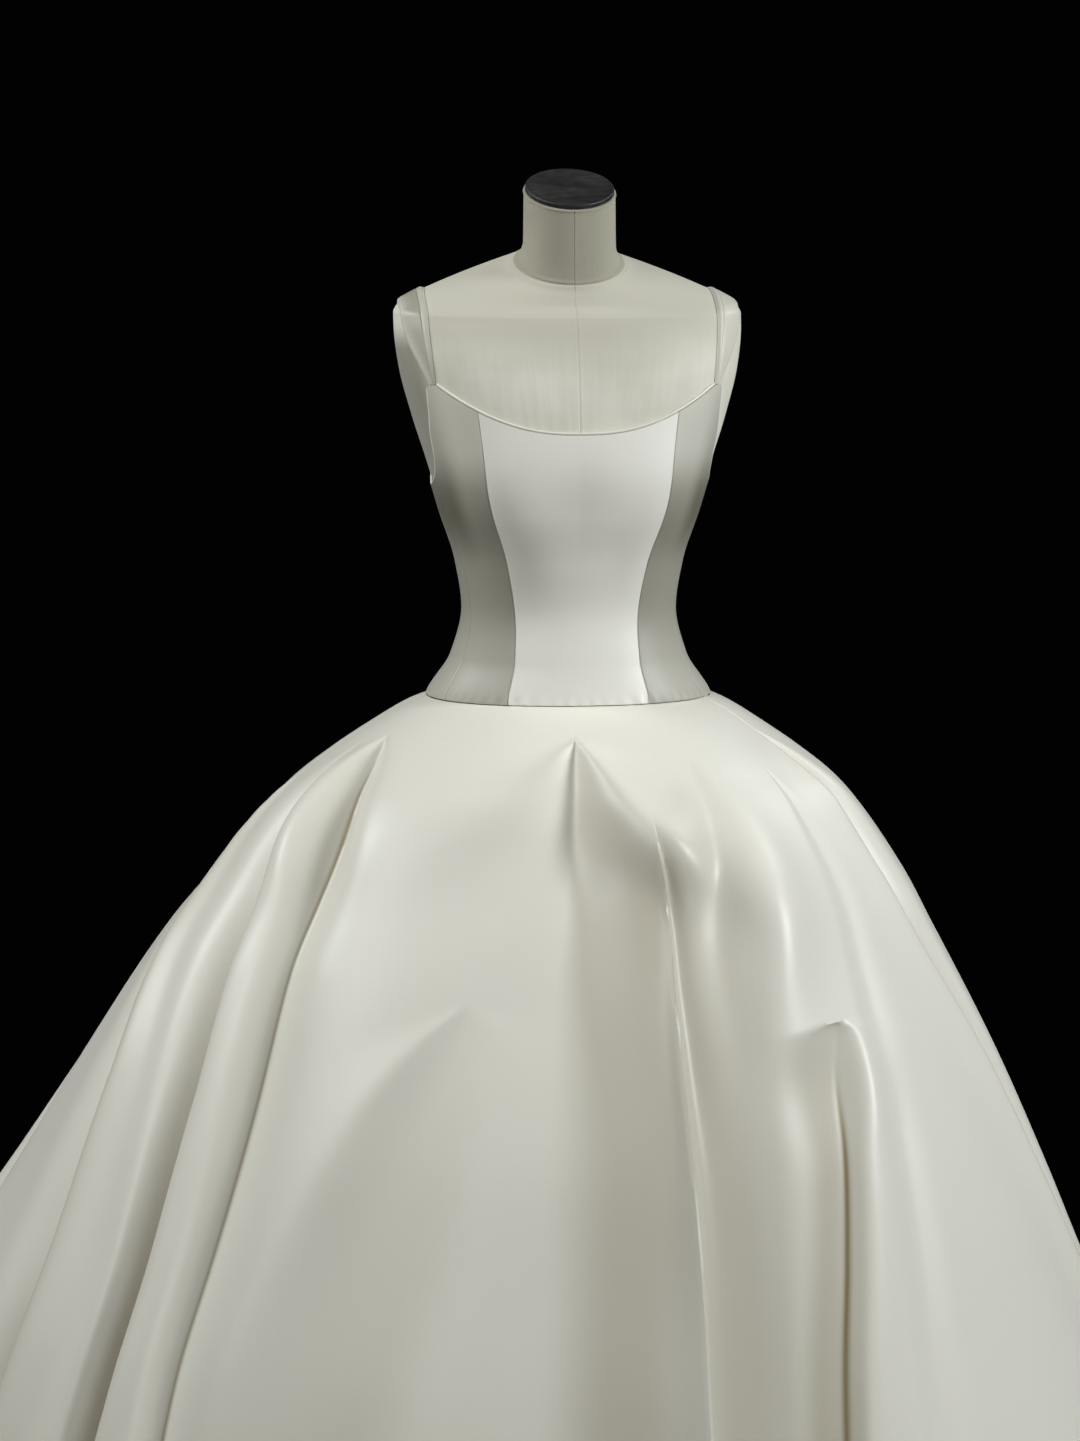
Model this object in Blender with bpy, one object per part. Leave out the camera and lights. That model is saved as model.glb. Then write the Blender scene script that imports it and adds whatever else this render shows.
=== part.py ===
"""Ball gown on a limbless dress form: the construction, at real size.

Metres, +Z up. The gown's front faces -Y, +X is to the right of someone looking at it,
and the origin is on the form's axis, under the middle of the stand's base.

Every piece of cloth is a wall of constant thickness. The bodice and its straps are lifted
off the form's own surface, and the skirt is a dome of rings with deep unpressed folds.
"""

import math

import bmesh
import bpy
from mathutils import Vector

# ---- driving dimensions -------------------------------------------------------------

BODICE_CLOTH = 0.0018       # satin and its backing, sewn as one
SKIRT_CLOTH = 0.0020
EDGE_CLOTH = 0.0026         # binding, a little thicker than the panel it edges
SEAM_GAP = 0.0003           # space kept between two pieces that meet
EASE = 0.0014               # from the form's surface to the inside of bodice and straps

WAIST_SEAM = 0.9730         # height where the bodice joins the skirt
SKIRT_TOP = WAIST_SEAM - SEAM_GAP
HEM = 0.0040

NECK_EDGE_FRONT = 1.2620    # height of the neckline at the centre front
NECK_EDGE_BACK = 1.2550
FRONT_CORNER = 1.3145       # height where the strap meets the front
BACK_CORNER = 1.3050
NECK_CURVE_FRONT = 2.7      # how late the neckline turns up towards the corner
NECK_CURVE_BACK = 2.2
BINDING_WIDTH = 0.0042

STRAP_INNER_RIDGE = 0.157   # distance from the middle where the strap crosses the shoulder
STRAP_OUTER_RIDGE = 0.186
STRAP_BAND_SHARE = 0.26     # share of the strap's width taken by its inner band
STRAP_SEAM_SHARE = 0.012    # half the seam between the band and the strap
STRAP_AIM = Vector((0.0, 0.020, 1.300))  # the strap is laid on the form by rays from here

FORM_BOTTOM = 0.800
NECK_TOP = 1.5215
CAP_HEIGHT = 0.0055
CAP_SHARE = 0.97            # the cap's size as a share of the neck's
CAP_TOP_SHARE = 0.94        # and at its rounded top edge

FLANGE_RADIUS = 0.062
FLANGE_HEIGHT = 0.018
POLE_RADIUS = 0.017
BASE_RADIUS = 0.205
BASE_HEIGHT = 0.022
BASE_COLLAR_RADIUS = 0.034
BASE_COLLAR_HEIGHT = 0.030


class Profile:
    """A short table read at any key, by a smooth curve that never overshoots its rows."""

    def __init__(self, columns, rows):
        self.keys = [row[0] for row in rows]
        self.values = {name: [row[i] for row in rows] for i, name in enumerate(columns)}

    def slope(self, values, i):
        """The curve's slope at row i, flat where the values turn."""
        if i in (0, len(values) - 1):
            j = min(i, len(values) - 2)
            return (values[j + 1] - values[j]) / (self.keys[j + 1] - self.keys[j])
        before = (values[i] - values[i - 1]) / (self.keys[i] - self.keys[i - 1])
        after = (values[i + 1] - values[i]) / (self.keys[i + 1] - self.keys[i])
        if before * after <= 0.0:
            return 0.0
        return 2.0 * before * after / (before + after)

    def at(self, name, key):
        """Read one column at a key."""
        values = self.values[name]
        key = min(max(key, self.keys[0]), self.keys[-1])
        i = 0
        while i < len(self.keys) - 2 and key > self.keys[i + 1]:
            i += 1
        width = self.keys[i + 1] - self.keys[i]
        t = (key - self.keys[i]) / width
        start = values[i] * (1 + 2 * t) + self.slope(values, i) * width * t
        end = values[i + 1] * (3 - 2 * t) - self.slope(values, i + 1) * width * (1 - t)
        return start * (1 - t) ** 2 + end * t ** 2


# ---- the form's surface -------------------------------------------------------------

# One row for each level: half width, depth to the front and back of the axis, how far
# behind the axis the sides lie, how square the section is (2 is an ellipse), and how much
# the section tips down to the front.
TORSO = Profile(
    ("level", "half_width", "front", "back", "side_y", "square", "tip"),
    (
        (0.8000, 0.1600, 0.1120, 0.1340, 0.012, 2.20, 0.00),
        (0.8700, 0.1700, 0.1180, 0.1420, 0.012, 2.20, 0.00),
        (0.9300, 0.1660, 0.1150, 0.1360, 0.010, 2.20, 0.00),
        (0.9730, 0.1550, 0.1080, 0.1220, 0.008, 2.20, 0.00),
        (1.0170, 0.1280, 0.0980, 0.0990, 0.006, 2.15, 0.00),
        (1.0700, 0.1155, 0.0900, 0.0860, 0.004, 2.10, 0.00),
        (1.1230, 0.1230, 0.0980, 0.0900, 0.004, 2.15, 0.00),
        (1.1760, 0.1400, 0.1100, 0.0990, 0.004, 2.25, 0.00),
        (1.2290, 0.1555, 0.1160, 0.1080, 0.006, 2.35, 0.00),
        (1.2810, 0.1720, 0.1100, 0.1140, 0.010, 2.45, 0.00),
        (1.3330, 0.1855, 0.0960, 0.1160, 0.014, 2.50, 0.00),
        (1.3720, 0.1905, 0.0820, 0.1100, 0.018, 2.40, 0.03),
        (1.3900, 0.1910, 0.0750, 0.1030, 0.020, 2.30, 0.08),
        (1.3980, 0.1860, 0.0710, 0.0980, 0.020, 2.20, 0.14),
        (1.4050, 0.1725, 0.0680, 0.0920, 0.019, 2.10, 0.20),
        (1.4180, 0.1375, 0.0620, 0.0800, 0.015, 2.00, 0.32),
        (1.4310, 0.0970, 0.0570, 0.0670, 0.010, 2.00, 0.42),
        (1.4400, 0.0690, 0.0530, 0.0590, 0.006, 2.00, 0.46),
        (1.4500, 0.0550, 0.0505, 0.0530, 0.003, 2.00, 0.46),
        (1.4650, 0.0505, 0.0495, 0.0495, 0.000, 2.00, 0.45),
        (1.5215, 0.0498, 0.0490, 0.0490, 0.000, 2.00, 0.45),
    ),
)
BUST_RISE = 0.009           # how far the bust stands out of that section
BUST_LEVEL = 1.190
BUST_TURN = 33.0
BUST_HEIGHT = 0.050
BUST_SPAN = 20.0


def section_point(turn, half_width, front, back, side_y, square, rise=0.0):
    """A point of a level section. Turn is in degrees, from the front (-Y) towards +X."""
    across = math.sin(math.radians(turn))
    ahead = math.cos(math.radians(turn))
    reach = (abs(across) ** square + abs(ahead) ** square) ** (-1.0 / square)
    depth = front + side_y if ahead > 0.0 else back - side_y
    return (
        across * (half_width * reach + rise),
        side_y - ahead * (depth * reach + rise),
    )


def torso_point(turn, level):
    """A point on the form's surface."""
    turn = (turn + 180.0) % 360.0 - 180.0
    off_bust = ((abs(turn) - BUST_TURN) / BUST_SPAN) ** 2
    off_bust += ((level - BUST_LEVEL) / BUST_HEIGHT) ** 2
    names = ("half_width", "front", "back", "side_y", "square")
    sizes = [TORSO.at(name, level) for name in names]
    x, y = section_point(turn, *sizes, rise=BUST_RISE * math.exp(-off_bust))
    return Vector((x, y, level + TORSO.at("tip", level) * y))


def lifted(point_at, u, v, lift, step_u, step_v):
    """A point of a surface moved out along its normal."""
    along_u = point_at(u + step_u, v) - point_at(u - step_u, v)
    along_v = point_at(u, v + step_v) - point_at(u, v - step_v)
    normal = along_u.cross(along_v).normalized()
    return point_at(u, v) + normal * lift


def on_torso(turn, level, lift):
    """A point at a distance outside the form's surface."""
    return lifted(torso_point, turn, level, lift, 0.5, 0.0008)


def on_torso_at(turn, height, lift):
    """A point at a distance outside the form's surface, and at an exact height."""
    level = height
    for _ in range(4):
        level += height - on_torso(turn, level, lift).z
    return on_torso(turn, level, lift)


def inside_torso(point):
    """Whether a point of the chest or shoulders is inside the form."""
    level = point.z
    for _ in range(8):
        level = point.z - TORSO.at("tip", level) * point.y
    side_y = TORSO.at("side_y", level)
    across = point.x / TORSO.at("half_width", level)
    depth = TORSO.at("front", level) + side_y
    if point.y > side_y:
        depth = TORSO.at("back", level) - side_y
    ahead = (side_y - point.y) / depth
    square = TORSO.at("square", level)
    return abs(across) ** square + abs(ahead) ** square < 1.0


# ---- meshes -------------------------------------------------------------------------


def material(name, colour, roughness, metallic=0.0):
    """A plain Principled material."""
    made = bpy.data.materials.new(name)
    made.use_nodes = True
    shader = made.node_tree.nodes["Principled BSDF"]
    shader.inputs["Base Color"].default_value = (*colour, 1.0)
    shader.inputs["Roughness"].default_value = roughness
    shader.inputs["Metallic"].default_value = metallic
    made.diffuse_color = (*colour, 1.0)
    return made


def add_object(name, points, faces, made_of, sharp_degrees=40.0):
    """Make one closed, outward-facing object."""
    mesh = bpy.data.meshes.new(name)
    mesh.from_pydata([tuple(point) for point in points], [], faces)
    shape = bmesh.new()
    shape.from_mesh(mesh)
    bmesh.ops.recalc_face_normals(shape, faces=shape.faces)
    shape.to_mesh(mesh)
    shape.free()
    mesh.materials.append(made_of)
    mesh.shade_smooth()
    mesh.set_sharp_from_angle(angle=math.radians(sharp_degrees))
    made = bpy.data.objects.new(name, mesh)
    bpy.context.scene.collection.objects.link(made)
    return made


def wall(name, outer, inner, made_of):
    """A wall between two grids of points, each a list of rows, closed round its edge.

    Its left and right edges are cut into triangles one way, so that neighbours match.
    """
    rows = len(outer)
    columns = len(outer[0])
    points = [point for row in outer for point in row]
    points += [point for row in inner for point in row]
    back = rows * columns
    faces = []
    for r in range(rows - 1):
        for c in range(columns - 1):
            a = r * columns + c
            b = a + columns
            faces.append((a, a + 1, b + 1, b))
            faces.append((back + a, back + b, back + b + 1, back + a + 1))
    rim = [(0, c) for c in range(columns)]
    rim += [(r, columns - 1) for r in range(1, rows)]
    rim += [(rows - 1, c) for c in range(columns - 2, -1, -1)]
    rim += [(r, 0) for r in range(rows - 2, 0, -1)]
    for (r0, c0), (r1, c1) in zip(rim, rim[1:] + rim[:1]):
        a = r0 * columns + c0
        b = r1 * columns + c1
        if c0 == c1:
            low, high = sorted((a, b))
            faces += [(low, high, back + high), (low, back + high, back + low)]
        else:
            faces.append((a, b, back + b, back + a))
    return add_object(name, points, faces, made_of)


def tube(name, rings, made_of):
    """A solid through rings of points, closed by a flat face at each end."""
    around = len(rings[0])
    points = [point for ring in rings for point in ring]
    faces = [tuple(range(around)), tuple(range(len(points) - around, len(points)))]
    for r in range(len(rings) - 1):
        for c in range(around):
            a = r * around + c
            b = r * around + (c + 1) % around
            faces.append((a, b, b + around, a + around))
    return add_object(name, points, faces, made_of)


def spread(start, end, count):
    """Evenly spaced values, both ends included."""
    return [start + (end - start) * i / (count - 1) for i in range(count)]


def mix(a, b, share):
    """A value or vector between two others."""
    return a + (b - a) * share


def bump_at(distance, width):
    """A soft rise of height 1, fading over a width."""
    return math.exp(-((distance / width) ** 2))


def ramp(value, start, end):
    """0 before start, 1 after end, smooth between."""
    t = min(max((value - start) / (end - start), 0.0), 1.0)
    return t * t * (3 - 2 * t)


# ---- form and stand -----------------------------------------------------------------

FORM_TURNS = 40
FORM_LEVELS = TORSO.keys[:3] + spread(WAIST_SEAM, TORSO.keys[10], 18) + TORSO.keys[11:]


def build_form(linen):
    """The torso and neck, one smooth solid with a flat bottom and a tipped neck top."""
    turns = [360.0 * i / FORM_TURNS for i in range(FORM_TURNS)]
    rings = [[torso_point(turn, level) for turn in turns] for level in FORM_LEVELS]
    return tube("form_torso", rings, linen)


def build_neck_cap(dark):
    """The dark disc on the neck, square to the neck's tipped top."""
    turns = [360.0 * i / FORM_TURNS for i in range(FORM_TURNS)]
    edge = [torso_point(turn, NECK_TOP) for turn in turns]
    middle = sum(edge, Vector()) / len(edge)
    up = (edge[1] - edge[0]).cross(edge[FORM_TURNS // 3] - edge[0]).normalized()
    up *= math.copysign(1.0, up.z)
    levels = (
        (0.0, CAP_SHARE),
        (CAP_HEIGHT * 0.75, CAP_SHARE),
        (CAP_HEIGHT, CAP_TOP_SHARE),
    )
    rings = []
    for height, share in levels:
        base = middle + up * (SEAM_GAP + height)
        rings.append([base + (point - middle) * share for point in edge])
    return tube("form_neck_cap", rings, dark)


def turned(name, outline, made_of, around=32):
    """A solid of revolution about the form's axis, from (radius, height) pairs."""
    rings = []
    for radius, height in outline:
        ring = []
        for i in range(around):
            angle = math.tau * i / around
            ring.append(Vector((radius * math.cos(angle), radius * math.sin(angle), height)))
        rings.append(ring)
    return tube(name, rings, made_of)


def build_stand(steel, iron):
    """The plain stand under the skirt: a round base, a pole and a flange."""
    pole_foot = BASE_HEIGHT + BASE_COLLAR_HEIGHT + SEAM_GAP
    flange_foot = FORM_BOTTOM - SEAM_GAP - FLANGE_HEIGHT
    edge = 0.004
    turned("stand_base", (
        (BASE_RADIUS - edge, 0.0),
        (BASE_RADIUS, edge),
        (BASE_RADIUS, BASE_HEIGHT * 0.5),
        (BASE_RADIUS - 2 * edge, BASE_HEIGHT * 0.75),
        (BASE_COLLAR_RADIUS + 2 * edge, BASE_HEIGHT),
        (BASE_COLLAR_RADIUS, BASE_HEIGHT + edge),
        (BASE_COLLAR_RADIUS, BASE_HEIGHT + BASE_COLLAR_HEIGHT),
    ), iron)
    turned("stand_pole", (
        (POLE_RADIUS, pole_foot),
        (POLE_RADIUS, flange_foot - SEAM_GAP),
    ), steel, around=20)
    turned("stand_flange", (
        (POLE_RADIUS + 2 * edge, flange_foot),
        (FLANGE_RADIUS, flange_foot + FLANGE_HEIGHT * 0.5),
        (FLANGE_RADIUS, flange_foot + FLANGE_HEIGHT),
    ), iron)


# ---- bodice -------------------------------------------------------------------------

# Turns of the bodice's seams on the +X side, by height. The -X side mirrors them.
BODICE_SEAMS = Profile(
    ("level", "princess", "side", "back_princess"),
    (
        (0.973, 28.5, 61.0, 152.0),
        (1.020, 31.0, 65.0, 150.5),
        (1.080, 34.5, 69.0, 149.0),
        (1.140, 36.0, 71.5, 148.5),
        (1.210, 36.5, 73.5, 149.0),
        (1.300, 35.0, 75.0, 150.0),
    ),
)

FRONT_CORNER_TURNS = (50.5, 54.0)   # the strap's width where it leaves the front
BACK_CORNER_TURNS = (130.0, 134.0)

# The bodice's panels: seams on either side, and columns across. Names end in left or right.
CENTRE_PANEL = ("-princess", "princess", 12)
SIDE_PANELS = (
    ("bodice_side_front_", "princess", "side", 10),
    ("bodice_side_back_", "side", "back_princess", 13),
    ("bodice_back_", "back_princess", "centre_back", 6),
)

# Height of the armhole's edge, from the front corner under the arm to the back corner.
ARMHOLE = Profile(
    ("turn", "level"),
    (
        (54.0, FRONT_CORNER),
        (57.5, 1.2840),
        (61.0, 1.2620),
        (64.0, 1.2390),
        (70.0, 1.2180),
        (80.0, 1.2080),
        (92.0, 1.2040),
        (104.0, 1.2090),
        (113.0, 1.2260),
        (120.0, 1.2520),
        (126.0, 1.2800),
        (130.0, BACK_CORNER),
    ),
)


def neck_rise(turn, corner_turn, power):
    """How far along its climb to the corner the neckline is, from 0 to 1."""
    share = math.sin(math.radians(turn)) / math.sin(math.radians(corner_turn))
    return abs(share) ** power


def top_edge(turn):
    """The height of the bodice's top edge at a turn, on either side."""
    turn = abs((turn + 180.0) % 360.0 - 180.0)
    if turn <= FRONT_CORNER_TURNS[0]:
        rise = neck_rise(turn, FRONT_CORNER_TURNS[0], NECK_CURVE_FRONT)
        return mix(NECK_EDGE_FRONT, FRONT_CORNER, rise)
    if turn <= FRONT_CORNER_TURNS[1]:
        return FRONT_CORNER
    if turn < BACK_CORNER_TURNS[0]:
        return ARMHOLE.at("level", turn)
    if turn <= BACK_CORNER_TURNS[1]:
        return BACK_CORNER
    rise = neck_rise(180.0 - turn, 180.0 - BACK_CORNER_TURNS[1], NECK_CURVE_BACK)
    return mix(NECK_EDGE_BACK, BACK_CORNER, rise)


def seam_turn(seam, level):
    """The turn of a bodice seam at a height. The centre back stays at one turn."""
    if seam == "centre_back":
        return 180.0
    if seam.startswith("-"):
        return -BODICE_SEAMS.at(seam[1:], level)
    return BODICE_SEAMS.at(seam, level)


def seam_top(seam):
    """The turn and height where a seam meets the bodice's top edge."""
    level = 1.25
    for _ in range(12):
        level = top_edge(seam_turn(seam, level))
    return seam_turn(seam, level), level


def panel_turns(start, end, count):
    """Turns along a panel's top edge, with a column at each corner of the strap."""
    corners = [t for t in FRONT_CORNER_TURNS + BACK_CORNER_TURNS if start < t < end]
    stops = [start] + corners + [end]
    turns = [start]
    for a, b in zip(stops, stops[1:]):
        steps = max(1, round(count * (b - a) / (end - start)))
        turns += spread(a, b, steps + 1)[1:]
    return turns


def panel_grid(left, right, count, rows):
    """Turns and heights over a panel: its four edges, blended across the middle."""
    left_top, left_level = seam_top(left)
    right_top, right_level = seam_top(right)
    grid = []
    turns = panel_turns(left_top, right_top, count)
    for r in range(rows):
        v = r / (rows - 1)
        level_l = mix(WAIST_SEAM, left_level, v)
        level_r = mix(WAIST_SEAM, right_level, v)
        off_l = seam_turn(left, level_l) - mix(seam_turn(left, WAIST_SEAM), left_top, v)
        off_r = seam_turn(right, level_r) - mix(seam_turn(right, WAIST_SEAM), right_top, v)
        row = []
        for turn_top in turns:
            u = (turn_top - left_top) / (right_top - left_top)
            foot = mix(seam_turn(left, WAIST_SEAM), seam_turn(right, WAIST_SEAM), u)
            turn = mix(foot, turn_top, v) + mix(off_l, off_r, u)
            row.append((turn, mix(WAIST_SEAM, top_edge(turn_top), v)))
        grid.append(row)
    return grid


WAIST_RADIUS = 0.12         # of the bodice, for the turn that a seam's gap takes


def build_panel(name, left, right, count, satin, side=1.0, rows=12):
    """One bodice panel between two seams, on the +X side or mirrored."""
    grid = panel_grid(left, right, count, rows)
    half_gap = math.degrees(SEAM_GAP / 2 / WAIST_RADIUS)
    outer = []
    inner = []
    for r, row in enumerate(grid):
        row[0] = (row[0][0] + half_gap, row[0][1])
        row[-1] = (row[-1][0] - half_gap, row[-1][1])
        place = on_torso_at if r == 0 else on_torso
        outer.append([place(t, z, EASE + BODICE_CLOTH) for t, z in row])
        inner.append([place(t, z, EASE) for t, z in row])
    for points in (outer, inner):
        for row in points:
            for point in row:
                point.x *= side
    return wall(name, outer, inner, satin)


def build_bodice(front_satin, satin):
    """Seven panels: centre front, two side fronts, two side backs and two backs."""
    build_panel("bodice_centre_front", *CENTRE_PANEL, front_satin)
    for side, word in ((1.0, "left"), (-1.0, "right")):
        for name, left, right, count in SIDE_PANELS:
            build_panel(name + word, left, right, count, satin, side)


def edge_turns(first, last):
    """Turns along the top edge that match the panels' own columns."""
    turns = {first, last}
    for left, right, count in [CENTRE_PANEL] + [panel[1:] for panel in SIDE_PANELS]:
        for turn in panel_turns(seam_top(left)[0], seam_top(right)[0], count):
            turns.update((turn, -turn, 360.0 - turn))
    kept = []
    for turn in sorted(turn for turn in turns if first <= turn <= last):
        if not kept or turn - kept[-1] > 0.1:
            kept.append(turn)
    return kept


# ---- edges and straps ---------------------------------------------------------------

# The binding's section: share of its width, and height above its foot.
BINDING_SECTION = (
    (0.0, 0.0),
    (0.0, EDGE_CLOTH * 0.85),
    (0.55, EDGE_CLOTH),
    (1.0, EDGE_CLOTH * 0.6),
    (0.9, 0.0),
)


TURN_STEP = 0.2             # turn over which the edge's direction is taken
BINDING_SINK = 0.0002       # how much nearer the form the binding's foot is


def build_binding(name, turns, satin, side=1.0):
    """A narrow rounded binding along the bodice's top edge."""
    rings = []
    for turn in turns:
        edge = on_torso(turn, top_edge(turn), EASE)
        ahead = on_torso(turn + TURN_STEP, top_edge(turn + TURN_STEP), EASE)
        behind = on_torso(turn - TURN_STEP, top_edge(turn - TURN_STEP), EASE)
        normal = (edge - torso_point(turn, top_edge(turn))).normalized()
        away = normal.cross(ahead - behind).normalized()
        foot = edge - normal * BINDING_SINK + away * SEAM_GAP
        ring = []
        for share, height in BINDING_SECTION:
            point = foot + away * (BINDING_WIDTH * share) + normal * height
            point.x *= side
            ring.append(point)
        rings.append(ring)
    return tube(name, rings, satin)


def build_bindings(satin):
    """Bindings of the front and back neckline and of both armholes."""
    front = FRONT_CORNER_TURNS[0] - 0.3
    back = BACK_CORNER_TURNS[1] + 0.3
    build_binding("neckline_binding_front", edge_turns(-front, front), satin)
    build_binding("neckline_binding_back", edge_turns(back, 360.0 - back), satin)
    first = FRONT_CORNER_TURNS[1] + 0.3
    last = BACK_CORNER_TURNS[0] - 0.3
    for side, word in ((1.0, "left"), (-1.0, "right")):
        build_binding("armhole_binding_" + word, edge_turns(first, last), satin, side)


def skin_hit(x, angle):
    """Where a ray in the plane of x, tilted by an angle from the front, leaves the form."""
    near = 0.0
    far = 0.25
    aim = Vector((x, STRAP_AIM.y, STRAP_AIM.z))
    ray = Vector((0.0, -math.cos(angle), math.sin(angle)))
    for _ in range(40):
        middle = (near + far) / 2
        if inside_torso(aim + ray * middle):
            near = middle
        else:
            far = middle
    return aim + ray * near


def strap_edge(front_turn, back_turn, ridge_x, along):
    """The plane and ray angle of one of the strap's edges, a share of the way along it."""
    ends = (
        torso_point(front_turn, FRONT_CORNER + 2 * SEAM_GAP),
        torso_point(back_turn, BACK_CORNER + 2 * SEAM_GAP),
    )
    angles = [math.atan2(p.z - STRAP_AIM.z, STRAP_AIM.y - p.y) for p in ends]
    bow = ridge_x - (ends[0].x + ends[1].x) / 2
    x = mix(ends[0].x, ends[1].x, along) + bow * math.sin(math.pi * along)
    return x, mix(angles[0], angles[1], along)


def strap_point(along, across):
    """A point of the form's surface under the strap, across from its inner edge."""
    inner = strap_edge(FRONT_CORNER_TURNS[0], BACK_CORNER_TURNS[1], STRAP_INNER_RIDGE, along)
    outer = strap_edge(FRONT_CORNER_TURNS[1], BACK_CORNER_TURNS[0], STRAP_OUTER_RIDGE, along)
    return skin_hit(mix(inner[0], outer[0], across), mix(inner[1], outer[1], across))


def build_strap_piece(name, start, end, count, satin, side):
    """A strip of the strap between two shares of its width."""
    outer = []
    inner = []
    for along in spread(0.0, 1.0, 31):
        steps = (along - 0.01, along + 0.01)
        outer.append([])
        inner.append([])
        for across in spread(start, end, count):
            forward = strap_point(steps[1], across) - strap_point(steps[0], across)
            sideways = strap_point(along, across + 0.05) - strap_point(along, across - 0.05)
            normal = sideways.cross(forward).normalized()
            skin = strap_point(along, across)
            for grid, lift in ((outer, EASE + BODICE_CLOTH), (inner, EASE)):
                point = skin + normal * lift
                point.x *= side
                grid[-1].append(point)
    return wall(name, outer, inner, satin)


def build_straps(satin):
    """Each wedge-shaped strap with the narrow band along its inner edge."""
    for side, word in ((1.0, "left"), (-1.0, "right")):
        name = "strap_" + word
        build_strap_piece(name, STRAP_BAND_SHARE + STRAP_SEAM_SHARE, 1.0, 6, satin, side)
        band_edge = STRAP_BAND_SHARE - STRAP_SEAM_SHARE
        build_strap_piece(name + "_band", 0.0, band_edge, 2, satin, side)


# ---- skirt --------------------------------------------------------------------------

# One row for each height: the dome's size before its folds. Shift moves the ring
# sideways: the folds on the -X side stand out further than those on the +X side.
DOME = Profile(
    ("height", "half_width", "shift", "front", "back", "side_y"),
    (
        (0.0040, 0.800, -0.085, 0.753, 0.817, 0.000),
        (0.1000, 0.755, -0.077, 0.708, 0.767, 0.000),
        (0.2000, 0.705, -0.068, 0.658, 0.712, 0.000),
        (0.3600, 0.624, -0.054, 0.577, 0.622, 0.000),
        (0.4580, 0.571, -0.041, 0.524, 0.564, 0.000),
        (0.5870, 0.501, -0.028, 0.454, 0.488, 0.000),
        (0.7170, 0.424, -0.018, 0.377, 0.404, 0.000),
        (0.7820, 0.380, -0.009, 0.333, 0.357, 0.001),
        (0.8480, 0.332, -0.006, 0.285, 0.305, 0.002),
        (0.8800, 0.302, -0.004, 0.255, 0.274, 0.003),
        (0.9120, 0.261, -0.003, 0.214, 0.231, 0.004),
        (0.9400, 0.219, -0.002, 0.172, 0.187, 0.006),
        (0.9640, 0.179, -0.001, 0.132, 0.146, 0.008),
        (SKIRT_TOP, 0.158, 0.000, 0.111, 0.125, 0.008),
    ),
)

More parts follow.
